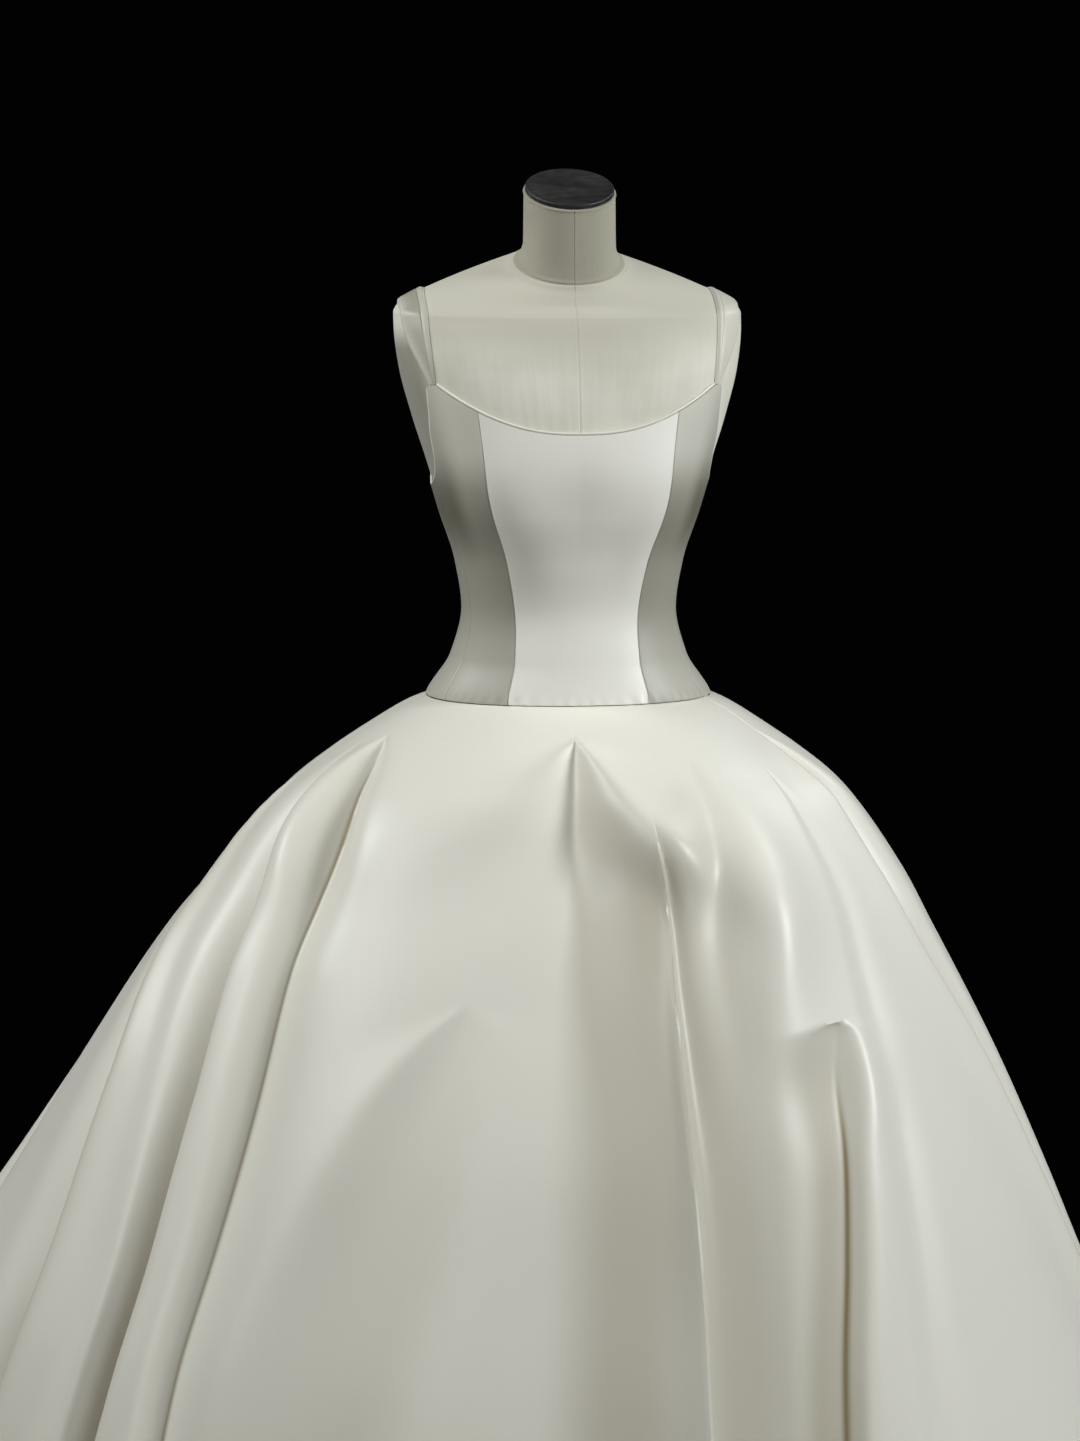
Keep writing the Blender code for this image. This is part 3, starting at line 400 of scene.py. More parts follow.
def place_group(tree, group, links=(), **values):
    """Put a node group into a material, with its own values."""
    made = tree.nodes.new("ShaderNodeGroup")
    made.node_tree = group
    for name, value in values.items():
        made.inputs[name].default_value = value
    for name, socket in links:
        tree.links.new(socket, made.inputs[name])
    return made.outputs


def blend_colours(tree, share, first, second):
    """A colour between two colours or sockets, by a share that changes over the surface."""
    made = tree.nodes.new("ShaderNodeMix")
    made.data_type = "RGBA"
    for socket, colour in (("A", first), ("B", second)):
        if isinstance(colour, tuple):
            made.inputs[socket].default_value = (*colour, 1.0)
        else:
            tree.links.new(colour, made.inputs[socket])
    tree.links.new(share, made.inputs["Factor"])
    return made.outputs["Result"]


def mapped(tree, value, low, high, to_low, to_high):
    """A value moved from one range to another, held inside it."""
    made = tree.nodes.new("ShaderNodeMapRange")
    made.inputs["From Min"].default_value = low
    made.inputs["From Max"].default_value = high
    made.inputs["To Min"].default_value = to_low
    made.inputs["To Max"].default_value = to_high
    tree.links.new(value, made.inputs["Value"])
    return made.outputs["Result"]


def surface(name, **settings):
    """A material with a Principled shader and its constant settings."""
    made = bpy.data.materials.new(name)
    made.use_nodes = True
    tree = made.node_tree
    shader = tree.nodes["Principled BSDF"]
    for socket, value in settings.items():
        shader.inputs[socket.replace("_", " ")].default_value = value
    return made, tree, shader.inputs


def bump_node(tree, height, distance):
    """A normal bumped by a height in metres."""
    made = tree.nodes.new("ShaderNodeBump")
    made.inputs["Distance"].default_value = distance
    tree.links.new(height, made.inputs["Height"])
    return made.outputs["Normal"]


def cloth_coordinates(tree):
    """The cloth's own coordinates in metres, and the object's."""
    uv = tree.nodes.new("ShaderNodeUVMap")
    uv.uv_map = "cloth"
    place = tree.nodes.new("ShaderNodeTexCoord")
    return uv.outputs["UV"], place.outputs["Object"]


def level_of(tree, place, tip):
    """The height in metres along a form whose sections are tipped forward."""
    axes = tree.nodes.new("ShaderNodeSeparateXYZ")
    tree.links.new(place, axes.inputs[0])
    return math_node(tree, "ADD", axes.outputs["Z"],
                     math_node(tree, "MULTIPLY", axes.outputs["Y"], -tip))


def blend_painted_shade(tree, base, shade_paint_colour):
    """A colour, blended with its painted shade colour by the painted shade share stored on the
    piece.
    """
    dark = tree.nodes.new("ShaderNodeAttribute")
    dark.attribute_name = "painted_shade_share"
    return blend_colours(tree, dark.outputs["Fac"], base, shade_paint_colour)


def satin(name, colour, shade, shade_paint_colour, roughness=0.42):
    """Duchess satin: smooth and close, with faint warp lines and a soft gloss.

    Its last colour is its painted shade, blended in by the painted shade stored on a piece.
    """
    made, tree, inputs = surface(
        name, Specular_IOR_Level=0.45, Sheen_Weight=0.12, Sheen_Roughness=0.4,
    )
    uv, place = cloth_coordinates(tree)
    threads = place_group(tree, THREADS, [("Cloth", uv)], Warp=0.8, Weft=0.2)
    patch = place_group(tree, PATCHES, [("Place", place)], Size=5.0)["Patch"]
    tone = math_node(tree, "ADD", math_node(tree, "MULTIPLY", threads["Tone"], 0.35), patch)
    share = mapped(tree, tone, 0.55, 1.25, 0.0, 1.0)
    base = blend_colours(tree, share, colour, shade)
    tree.links.new(blend_painted_shade(tree, base, shade_paint_colour), inputs["Base Color"])
    gloss = mapped(tree, tone, 0.5, 1.3, roughness - 0.03, roughness + 0.03)
    tree.links.new(gloss, inputs["Roughness"])
    tree.links.new(bump_node(tree, threads["Height"], 0.00004), inputs["Normal"])
    return made


def linen(name, colour, shade, neck_colour, neck_shade, shade_paint_colour):
    """Unbleached canvas: matte, with uneven threads both ways, painted shade on the shoulders,
    and greyer round the neck.
    """
    made, tree, inputs = surface(
        name, Roughness=0.85, Specular_IOR_Level=0.2, Sheen_Weight=0.15, Sheen_Roughness=0.6,
    )
    uv, place = cloth_coordinates(tree)
    threads = place_group(tree, THREADS, [("Cloth", uv)], Warp=0.55, Weft=0.55)
    patch = place_group(tree, PATCHES, [("Place", place)], Size=9.0)["Patch"]
    tone = math_node(tree, "ADD", math_node(tree, "MULTIPLY", threads["Tone"], 0.3), patch)
    share = mapped(tree, tone, 0.62, 1.25, 0.0, 1.0)
    level = level_of(tree, place, TORSO.values["tip"][-1])
    on_neck = mapped(tree, level, NECK_SEAM - 0.0004, NECK_SEAM + 0.0004, 0.0, 1.0)
    # Painted shade over the shoulders and the top of the chest.
    on_shoulders = mapped(tree, level, *SHOULDER_SHADE_LEVELS, 0.0, 1.0)
    shaded_top = blend_colours(tree, on_shoulders, colour, shade)
    chest = blend_colours(tree, share, shaded_top, shade)
    # The neck's greyer colours are partly its own age and dirt, partly painted shade.
    neck = blend_colours(tree, share, neck_colour, neck_shade)
    cover = blend_colours(tree, on_neck, chest, neck)
    tree.links.new(blend_painted_shade(tree, cover, shade_paint_colour), inputs["Base Color"])
    tree.links.new(bump_node(tree, threads["Height"], 0.00012), inputs["Normal"])
    return made


def stained_wood(name):
    """Black-stained wood with open grain, paler in soft patches."""
    made, tree, inputs = surface(name, Specular_IOR_Level=0.4)
    _, place = cloth_coordinates(tree)
    grain = noise_node(tree, stretched(tree, place, 30.0, 260.0), 1.0, 4.0)
    patch = place_group(tree, PATCHES, [("Place", place)], Size=40.0)["Patch"]
    share = mapped(tree, math_node(tree, "MULTIPLY", grain, patch), 0.15, 0.40, 0.0, 1.0)
    colour = blend_colours(tree, share, (0.016, 0.015, 0.015), (0.034, 0.032, 0.031))
    tree.links.new(colour, inputs["Base Color"])
    tree.links.new(mapped(tree, patch, 0.3, 0.7, 0.42, 0.6), inputs["Roughness"])
    tree.links.new(bump_node(tree, grain, 0.0002), inputs["Normal"])
    return made


def metal(name, colour, shade, roughness, grain_size):
    """Cast or brushed metal, by the size of its grain."""
    made, tree, inputs = surface(name, Metallic=1.0)
    _, place = cloth_coordinates(tree)
    grain = noise_node(tree, stretched(tree, place, grain_size, grain_size * 0.2), 1.0, 3.0)
    patch = place_group(tree, PATCHES, [("Place", place)], Size=14.0)["Patch"]
    tree.links.new(blend_colours(tree, patch, colour, shade), inputs["Base Color"])
    gloss = mapped(tree, grain, 0.3, 0.7, roughness - 0.08, roughness + 0.08)
    tree.links.new(gloss, inputs["Roughness"])
    tree.links.new(bump_node(tree, grain, 0.0003), inputs["Normal"])
    return made


# Each satin's colour, its shade along the threads, and the colour of its painted shade.
SKIRT_SATIN = satin(
    "skirt_satin", (0.81, 0.79, 0.71), (0.775, 0.755, 0.665), (0.24, 0.19, 0.085), 0.40,
)
# A lighter copy of the satin: painted light on the bodice's front.
LIT_FRONT_SATIN = satin(
    "bodice_front_satin", (0.95, 0.93, 0.86), (0.92, 0.90, 0.82), (0.30, 0.28, 0.22),
)
# A darker copy of the satin: painted shade on the bodice's sides.
SHADED_SIDE_SATIN = satin(
    "bodice_side_satin", (0.66, 0.645, 0.565), (0.62, 0.605, 0.525), (0.15, 0.14, 0.10), 0.46,
)
# A darker copy of the satin: painted shade on the straps.
SHADED_STRAP_SATIN = satin(
    "strap_satin_painted_shade", (0.70, 0.68, 0.60), (0.66, 0.64, 0.56), (0.20, 0.18, 0.12),
)
BINDING_SATIN = satin(
    "binding_satin", (0.86, 0.84, 0.76), (0.82, 0.80, 0.72), (0.22, 0.19, 0.12),
)
LINEN = linen(
    "form_linen",
    colour=(0.82, 0.80, 0.70),
    shade=(0.58, 0.56, 0.47),
    # The neck's colours: partly age and dirt, partly painted shade.
    neck_colour=(0.38, 0.365, 0.29),
    neck_shade=(0.28, 0.265, 0.20),
    # The colour of the painted shadow on the arm ends.
    shade_paint_colour=(0.10, 0.095, 0.065),
)
CAP_WOOD = stained_wood("neck_cap_wood")

# ---- the form -----------------------------------------------------------------------

FORM_SEAM_RIDGE = 0.0007    # how far the cover's seams stand out
CHEST_RADIUS = 0.100        # about how far the front seam is from the axis,
NECK_RADIUS = 0.052         # and above the foot of the neck
NECK_FOOT = 1.43
ARM_END = (0.78, 0.93)      # the painted shadow on the arm ends starts between these shares of the half width
ARM_LEVELS = (1.350, 1.385)    # and stops between these levels
LEFT_ARM_SHADOW = 0.10        # how strong that painted shadow is, the wearer's left and right
RIGHT_ARM_SHADOW = 0.70
RIM_SHARE = 0.988           # how far the cover's top edge is turned in under the cap


def form_relief(turn, level):
    """How far the form's cover stands out at its seams and its turned top edge."""
    off_middle = np.radians((turn + 180.0) % 360.0 - 180.0)
    off_front = off_middle * np.where(level > NECK_FOOT, NECK_RADIUS, CHEST_RADIUS)
    off_seam = level - NECK_SEAM
    relief = -0.9 * bump_at(off_seam, 0.0009) + 0.8 * bump_at(off_seam - 0.0022, 0.0016)
    relief = relief + 0.5 * bump_at(off_front - 0.0010, 0.0010) - 0.7 * bump_at(off_front, 0.0006)
    relief = relief + 1.1 * bump_at(level - (NECK_TOP - 0.0012), 0.0014)
    return relief * FORM_SEAM_RIDGE


def build_form():
    """The torso and neck in canvas, seamed down the front and round the neck."""
    turns = spaced(-180.0, 180.0, 241, (0.0, 1.4, 16.0))[:-1]
    levels = np.concatenate((
        np.linspace(FORM_FOOT, 1.230, 30)[:-1],
        spaced(1.230, NECK_TOP, 170, (NECK_SEAM, 0.004, 6.0), (NECK_TOP, 0.003, 5.0)),
    ))
    turn, level = np.meshgrid(turns, levels)
    skin = on_torso(turn, level, form_relief(turn, level))
    skin[0] = torso_point(turns, FORM_FOOT)
    rim = torso_point(turns, np.full_like(turns, NECK_TOP))
    skin[-1] = mix(rim.mean(0), rim, RIM_SHARE)
    piece = tube("form_cover", skin, LINEN, sharp_degrees=60.0)
    # Painted shadow on the arm ends, mostly on the wearer's right.
    aside = np.abs(skin[..., 0]) / TORSO.at("half_width", level)
    arm_shadow_mask = ramp(aside, *ARM_END) * (1.0 - ramp(level, *ARM_LEVELS))
    dark = arm_shadow_mask * np.where(skin[..., 0] < 0.0, RIGHT_ARM_SHADOW, LEFT_ARM_SHADOW)
    store_painted_shade(piece, dark, both_sides=False)
    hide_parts("form_torso")


# The cap's outline: height above the neck, and reach as a share of the neck's.
CAP_OUTLINE = (
    (0.0000, 0.955), (0.0006, 0.970), (0.0038, 0.970), (0.0047, 0.964), (0.0053, 0.950),
    (0.0055, 0.930), (0.0054, 0.900), (0.0052, 0.860), (0.0051, 0.600), (0.0051, 0.300),
    (0.0051, 0.060),
)


def build_cap():
    """The dark wooden cap on the neck, with a rounded rim and a very slightly dished top."""
    turns = np.linspace(-180.0, 180.0, 97)[:-1]
    edge = torso_point(turns, np.full_like(turns, NECK_TOP))
    middle = edge.mean(0)
    up = unit(np.cross(edge[24] - edge[0], edge[48] - edge[0]))
    up = up * math.copysign(1.0, up[2])
    rings = [
        middle + up * (SEAM_GAP + height) + (edge - middle) * share
        for height, share in CAP_OUTLINE
    ]
    piece = tube("neck_cap", np.array(rings), CAP_WOOD, sharp_degrees=50.0)
    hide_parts("form_neck_cap")


# ---- bodice -------------------------------------------------------------------------

BODICE_SEAMS = Profile(
    ("level", "princess", "side", "back_princess"),
    (
        (0.973, 28.5, 61.0, 152.0),
        (1.020, 31.0, 65.0, 150.5),
        (1.080, 34.5, 69.0, 149.0),
        (1.140, 36.0, 71.5, 148.5),
        (1.210, 36.5, 73.5, 149.0),
        (1.300, 35.0, 75.0, 150.0),
    ),
)
FRONT_CORNER_TURNS = (50.5, 54.0)       # the two edges of a strap, at the front
BACK_CORNER_TURNS = (130.0, 134.0)      # and at the back
# The first part of a side panel's name, and its two seams.
SIDE_PANELS = (
    ("side_front_", "princess", "side"),
    ("side_back_", "side", "back_princess"),
    ("back_", "back_princess", "centre_back"),
)
ARMHOLE = Profile(
    ("turn", "level"),
    (
        (54.0, FRONT_CORNER),
        (57.5, 1.2840),
        (61.0, 1.2620),
        (64.0, 1.2390),
        (70.0, 1.2180),
        (80.0, 1.2080),
        (92.0, 1.2040),
        (104.0, 1.2090),
        (113.0, 1.2260),
        (120.0, 1.2520),
        (126.0, 1.2800),
        (130.0, BACK_CORNER),
    ),
)
SEAM_DIP = 0.0005           # depth of the soft groove where two panels meet
SEAM_DIP_WIDTH = 0.0009
BODICE_RADIUS = 0.12        # about how far the cloth is from the axis, to open the seams
FOOT_DIP = 0.1              # how much of that groove there is along the waist seam
FOOT_DIP_WIDTH = 0.0012
PUCKER = 0.0011             # height of the small puckers above the waist seam
PUCKER_LENGTH = 0.007
PUCKER_TURN = 27.0          # where the puckers are strongest
PUCKER_SPAN = 7.0


def neck_rise(turn, corner_turn, power):
    """How far along its climb to the corner the neckline is, from 0 to 1."""
    share = np.sin(np.radians(turn)) / math.sin(math.radians(corner_turn))
    return np.abs(share) ** power


def top_edge(turn):
    """The level of the bodice's top edge at a turn, on either side."""
    turn = np.abs((turn + 180.0) % 360.0 - 180.0)
    front = mix(
        NECK_EDGE_FRONT, FRONT_CORNER,
        neck_rise(turn, FRONT_CORNER_TURNS[0], NECK_CURVE_FRONT),
    )
    back = mix(
        NECK_EDGE_BACK, BACK_CORNER,
        neck_rise(180.0 - turn, 180.0 - BACK_CORNER_TURNS[1], NECK_CURVE_BACK),
    )
    arm = ARMHOLE.at("level", turn)
    return np.where(
        turn <= FRONT_CORNER_TURNS[0], front, np.where(turn > BACK_CORNER_TURNS[1], back, arm)
    )


def seam_turn(seam, level):
    """The turn of a bodice seam at a height. The centre back stays at one turn."""
    if seam == "centre_back":
        return np.full(np.shape(level), 180.0)
    if seam.startswith("-"):
        return -BODICE_SEAMS.at(seam[1:], level)
    return BODICE_SEAMS.at(seam, level)


def seam_top(seam):
    """The turn and level where a seam meets the bodice's top edge."""
    level = 1.25
    for _ in range(12):
        level = float(top_edge(seam_turn(seam, level)))
    return float(seam_turn(seam, level)), level


def panel_turns(start, end, count):
    """Turns along a panel's top edge, with a column at each corner of the strap."""
    corners = [t for t in FRONT_CORNER_TURNS + BACK_CORNER_TURNS if start < t < end]
    stops = [start] + corners + [end]
    turns = [np.array([start])]
    for a, b in zip(stops, stops[1:]):
        steps = 2 * max(1, round(count / 2 * (b - a) / (end - start)))
        turns.append(spaced(a, b, steps + 1, (start, 1.2, 5.0), (end, 1.2, 5.0))[1:])
    return np.concatenate(turns)


def panel_grid(left, right, count, rows):
    """Turns and levels over a panel: its four edges, blended across the middle."""
    left_top, left_level = seam_top(left)
    right_top, right_level = seam_top(right)
    turns = panel_turns(left_top, right_top, count)
    v = spaced(0.0, 1.0, rows, (0.0, 0.02, 6.0), (1.0, 0.02, 3.0))[:, None]
    u = ((turns - left_top) / (right_top - left_top))[None, :]
    foot_l, foot_r = seam_turn(left, WAIST_SEAM), seam_turn(right, WAIST_SEAM)
    off_l = seam_turn(left, mix(WAIST_SEAM, left_level, v)) - mix(foot_l, left_top, v)
    off_r = seam_turn(right, mix(WAIST_SEAM, right_level, v)) - mix(foot_r, right_top, v)
    turn = mix(mix(foot_l, foot_r, u), turns[None, :], v) + mix(off_l, off_r, u)
    return turn, mix(WAIST_SEAM, top_edge(turns)[None, :], v)


def edge_distance(grid):
    """For each point of a grid, how far it is across the cloth from its left and right."""
    steps = np.linalg.norm(np.diff(grid, axis=1), axis=-1)
    left = np.concatenate((np.zeros((len(grid), 1)), np.cumsum(steps, 1)), 1)
    return left, left[:, -1:] - left


def cloth_uv(grid):
    """Coordinates in metres over a grid, across from its middle and up."""
    left, right = edge_distance(grid)
    rise = np.linalg.norm(np.diff(grid, axis=0), axis=-1)
    up = np.concatenate((np.zeros((1, grid.shape[1])), np.cumsum(rise, 0)))
    return np.stack(((left - right) / 2, up), -1)


def waist_puckers(turn, level):
    """Small gathers on the bodice just above the waist seam, uneven round it."""
    fade = bump_at(level - WAIST_SEAM, PUCKER_LENGTH)
    waves = np.sin(np.radians(turn) * 61.0 + 1.7 * np.sin(np.radians(turn) * 7.0))
    strength = 0.35 + 0.65 * bump_at(np.abs(turn) - PUCKER_TURN, PUCKER_SPAN)
    return PUCKER * fade * waves * strength


# How much painted shade the satin has round a level of the sides, and how high that reaches.
SIDE_PAINTED_SHADES = (
    (0.34, 1.170, 0.050),
    (0.22, 1.075, 0.050),
)
# The same painted shade for the front, between and under the busts, round a turn and a level, and
# how wide and how high it reaches.
FRONT_PAINTED_SHADES = (
    (0.10, 0.0, 12.0, 1.190, 0.040),
    (0.10, 24.0, 8.0, 1.130, 0.035),
)
LOWER_PAINTED_SHADE = 0.32           # painted shade of the sides below the bust
LOWER_LEVELS = (1.20, 1.25)
UNDERARM_PAINTED_SHADE = 0.35             # painted shade of the sides under the arms
UNDERARM_SHADE_TURNS = (46.0, 60.0)
UNDERARM_SHADE_LEVELS = (1.10, 1.20)
PRINCESS_LAP = 0.5          # the side's painted shade starts this many degrees before its seam


def bodice_painted_shade(turn, level):
    """How much painted shade the satin has, at the sides, under the bust and arms, and at the
    front.
    """
    side = LOWER_PAINTED_SHADE * (1.0 - ramp(level, *LOWER_LEVELS))
    side = side + UNDERARM_PAINTED_SHADE * ramp(turn, *UNDERARM_SHADE_TURNS) * ramp(level, *UNDERARM_SHADE_LEVELS)
    for tone, at_level, high in SIDE_PAINTED_SHADES:
        side = side + tone * bump_at(level - at_level, high)
    front = 0.0
    for tone, at_turn, wide, at_level, high in FRONT_PAINTED_SHADES:
        front = front + tone * bump_at(turn - at_turn, wide) * bump_at(level - at_level, high)
    return np.where(turn > BODICE_SEAMS.at("princess", level) - PRINCESS_LAP, side, front)


def bodice_panel(name, left, right, count, rows, side, made_of, node):
    """One fine bodice panel between two seams, on the +X side or mirrored."""
    turn, level = panel_grid(left, right, count, rows)
    from_left, from_right = edge_distance(on_torso(turn, level, EASE))
    turn = turn + np.degrees(SEAM_GAP / 2 / BODICE_RADIUS) * (
        np.where(from_left == 0.0, 1.0, 0.0) - np.where(from_right == 0.0, 1.0, 0.0)
    )
    dip = bump_at(from_left, SEAM_DIP_WIDTH) + bump_at(from_right, SEAM_DIP_WIDTH)
    foot = bump_at(level - WAIST_SEAM, FOOT_DIP_WIDTH)
    lift = EASE + BODICE_CLOTH - SEAM_DIP * np.clip(dip + FOOT_DIP * foot, 0.0, 1.0)
    lift = lift + waist_puckers(turn * side, level) * (1.0 - np.clip(dip, 0.0, 1.0))
    inner = on_torso(turn, level, EASE)
    outer = on_torso(turn, level, lift)
    uv = cloth_uv(outer)
    if side < 0.0:
        outer, inner, uv = mirrored(outer), mirrored(inner), uv[:, ::-1]
    piece = cloth_shell(name, outer, inner, uv, made_of)
    # Store the bodice's painted shade on the panel.
    dark = bodice_painted_shade(np.abs(turn), level)
    store_painted_shade(piece, dark[:, ::-1] if side < 0.0 else dark)
    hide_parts(node)
    return piece


def build_bodice():
    """Seven panels: centre front, two side fronts, two side backs and two backs."""
    pieces = [bodice_panel(
        "centre_front_panel", "-princess", "princess", 88, 111, 1.0,
        LIT_FRONT_SATIN, "bodice_centre_front",
    )]
    for side, word in ((1.0, "left"), (-1.0, "right")):
        for name, left, right in SIDE_PANELS:
            pieces.append(bodice_panel(
                name + word + "_panel", left, right, 60, 91, side,
                SHADED_SIDE_SATIN, "bodice_" + name + word,
            ))
    return pieces


# ---- edges and straps ---------------------------------------------------------------

BINDING_ROLL = 0.0030       # the width of the binding that is rolled to the outside
BINDING_FULLNESS = 1.12     # its height, as a share of the bodice's cloth
BINDING_SINK = 0.0002       # how far its foot is below the inside of the bodice
BINDING_END = 0.3           # how far it stops before a corner, in degrees


def binding(name, turns, side, node):
    """A narrow rolled binding along the bodice's top edge."""
    edge = on_torso(turns, top_edge(turns), EASE)
    ahead = on_torso(turns + 0.2, top_edge(turns + 0.2), EASE)
    behind = on_torso(turns - 0.2, top_edge(turns - 0.2), EASE)
    normal = unit(on_torso(turns, top_edge(turns), EASE + 0.001) - edge)
    away = unit(np.cross(normal, ahead - behind))
    foot = edge - normal * BINDING_SINK + away * SEAM_GAP
    roll = np.radians(np.linspace(0.0, 180.0, 9))
    share = np.concatenate((0.5 - 0.5 * np.cos(roll), [0.85, 0.5, 0.15]))
    crown = np.sin(roll) ** 0.7 * BODICE_CLOTH * BINDING_FULLNESS
    height = np.concatenate((crown, [0.0, 0.0, 0.0]))
    rings = (
        foot[:, None]
        + away[:, None] * (BINDING_ROLL * share)[None, :, None]
        + normal[:, None] * height[None, :, None]
    )
    if side < 0.0:
        rings = mirrored(rings)
    piece = tube(name, rings, BINDING_SATIN, sharp_degrees=70.0)
    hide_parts(node)
    return piece


def build_bindings():
    """Bindings of the front and back neckline and of both armholes."""
    front = FRONT_CORNER_TURNS[0] - BINDING_END
    back = BACK_CORNER_TURNS[1] + BINDING_END
    pieces = [
        binding("front_neck_binding", np.linspace(-front, front, 181), 1.0,
                "neckline_binding_front"),
        binding("back_neck_binding", np.linspace(back, 360.0 - back, 161), 1.0,
                "neckline_binding_back"),
    ]
    arm = np.linspace(
        FRONT_CORNER_TURNS[1] + BINDING_END, BACK_CORNER_TURNS[0] - BINDING_END, 161,
    )
    for side, word in ((1.0, "left"), (-1.0, "right")):
        pieces.append(binding(
            word + "_armhole_binding", arm, side, "armhole_binding_" + word,
        ))
    return pieces


def skin_hit(x, angle):
    """Where rays in the plane of x, tilted by an angle from the front, leave the form."""
    near = np.zeros_like(angle)
    far = np.full_like(angle, STRAP_REACH)
    aim = np.stack((x, np.full_like(x, STRAP_AIM[1]), np.full_like(x, STRAP_AIM[2])), -1)
    ray = np.stack((np.zeros_like(x), -np.cos(angle), np.sin(angle)), -1)
    for _ in range(40):
        middle = (near + far) / 2
        inside = inside_torso(aim + ray * middle[..., None])
        near = np.where(inside, middle, near)
        far = np.where(inside, far, middle)
    return aim + ray * near[..., None]


def strap_edge(front_turn, back_turn, ridge_x, along):
    """The plane and ray angle of one of the strap's edges, a share of the way along it."""
    front = torso_point(front_turn, FRONT_CORNER + 2 * SEAM_GAP)
    back = torso_point(back_turn, BACK_CORNER + 2 * SEAM_GAP)
    angles = [math.atan2(p[2] - STRAP_AIM[2], STRAP_AIM[1] - p[1]) for p in (front, back)]
    bow = ridge_x - (front[0] + back[0]) / 2
    x = mix(front[0], back[0], along) + bow * np.sin(math.pi * along)
    return x, mix(angles[0], angles[1], along)


def strap_point(along, across):
    """Points of the form's skin under the strap, across from its inner edge."""
    inner = strap_edge(FRONT_CORNER_TURNS[0], BACK_CORNER_TURNS[1], STRAP_INNER_RIDGE, along)
    outer = strap_edge(FRONT_CORNER_TURNS[1], BACK_CORNER_TURNS[0], STRAP_OUTER_RIDGE, along)
    return skin_hit(mix(inner[0], outer[0], across), mix(inner[1], outer[1], across))


STRAP_RIM = 0.0022          # a strap's free edges come down to the form within this width
RIM_LIFT = 0.0009           # how far above the form's skin the outside ends there
INNER_RIM = 0.3             # and the inside, as a share of that
STRAP_SEAM = 0.005          # half the seam to the band, as a share of the strap's width
STRAP_SEAM_DIP = 0.0004
STRAP_SEAM_WIDTH = 0.0008
LEFT_STRAP_SHADE = 0.08      # painted shade on the straps, the wearer's left and right
RIGHT_STRAP_SHADE = 0.62
RIGHT_BAND_SHADE_SHARE = 0.4      # painted shade on the right strap's band, as a share of that
LIT_EDGE = 0.010            # the width over which the right strap's outer edge has less painted shade


def strap_piece(name, start, end, count, side, node):
    """A strip of the strap between two shares of its width, with soft rolled edges."""
    along, across = np.meshgrid(
        np.linspace(0.0, 1.0, 121), np.linspace(start, end, count), indexing="ij"
    )
    forward = strap_point(along + 0.01, across) - strap_point(along - 0.01, across)
    sideways = strap_point(along, across + 0.05) - strap_point(along, across - 0.05)
    normal = unit(np.cross(sideways, forward))
    skin = strap_point(along, across)
    from_left, from_right = edge_distance(skin + normal * EASE)
    is_band = start == 0.0
    rim = bump_at(from_left if is_band else from_right, STRAP_RIM)
    seamed = bump_at(from_right if is_band else from_left, STRAP_SEAM_WIDTH)
    lift = EASE + BODICE_CLOTH - STRAP_SEAM_DIP * seamed
    outer = skin + normal * mix(lift, RIM_LIFT, rim)[..., None]
    inner = skin + normal * mix(EASE, INNER_RIM * RIM_LIFT, rim)[..., None]
    uv = cloth_uv(outer)
    # Painted shade on the straps, heavier on the wearer's right one, less at its outer edge.
    dark = np.full(along.shape, LEFT_STRAP_SHADE)
    if side < 0.0:
        outer, inner, uv = mirrored(outer), mirrored(inner), uv[:, ::-1]
        dark = mix(RIGHT_STRAP_SHADE, LEFT_STRAP_SHADE, bump_at(from_right, LIT_EDGE))
        dark = np.where(is_band, RIGHT_BAND_SHADE_SHARE * RIGHT_STRAP_SHADE, dark)[:, ::-1]
    piece = cloth_shell(name, outer, inner, uv, SHADED_STRAP_SATIN)
    store_painted_shade(piece, dark)
    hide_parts(node)
    return piece


def build_straps():
    """Each wedge-shaped strap with the narrow band along its inner edge."""
    pieces = []
    for side, word in ((1.0, "left"), (-1.0, "right")):
        pieces.append(strap_piece(
            word + "_strap", STRAP_BAND_SHARE + STRAP_SEAM, 1.0, 33, side, "strap_" + word,
        ))
        pieces.append(strap_piece(
            word + "_strap_edge_band", 0.0, STRAP_BAND_SHARE - STRAP_SEAM, 13, side,
            "strap_" + word + "_band",
        ))
    return pieces


# ---- skirt --------------------------------------------------------------------------

DOME = Profile(
    ("height", "half_width", "shift", "front", "back", "side_y"),
    (
        (0.0040, 0.800, -0.085, 0.753, 0.817, 0.000),
        (0.1000, 0.755, -0.077, 0.708, 0.767, 0.000),
        (0.2000, 0.705, -0.068, 0.658, 0.712, 0.000),
        (0.3600, 0.624, -0.054, 0.577, 0.622, 0.000),
        (0.4580, 0.571, -0.041, 0.524, 0.564, 0.000),
        (0.5870, 0.501, -0.028, 0.454, 0.488, 0.000),
        (0.7170, 0.424, -0.018, 0.377, 0.404, 0.000),
        (0.7820, 0.380, -0.009, 0.333, 0.357, 0.001),
        (0.8480, 0.332, -0.006, 0.285, 0.305, 0.002),
        (0.8800, 0.302, -0.004, 0.255, 0.274, 0.003),
        (0.9120, 0.261, -0.003, 0.214, 0.231, 0.004),
        (0.9400, 0.219, -0.002, 0.172, 0.187, 0.006),
        (0.9640, 0.179, -0.001, 0.132, 0.146, 0.008),
        (SKIRT_TOP, 0.158, 0.000, 0.111, 0.125, 0.008),
    ),
)
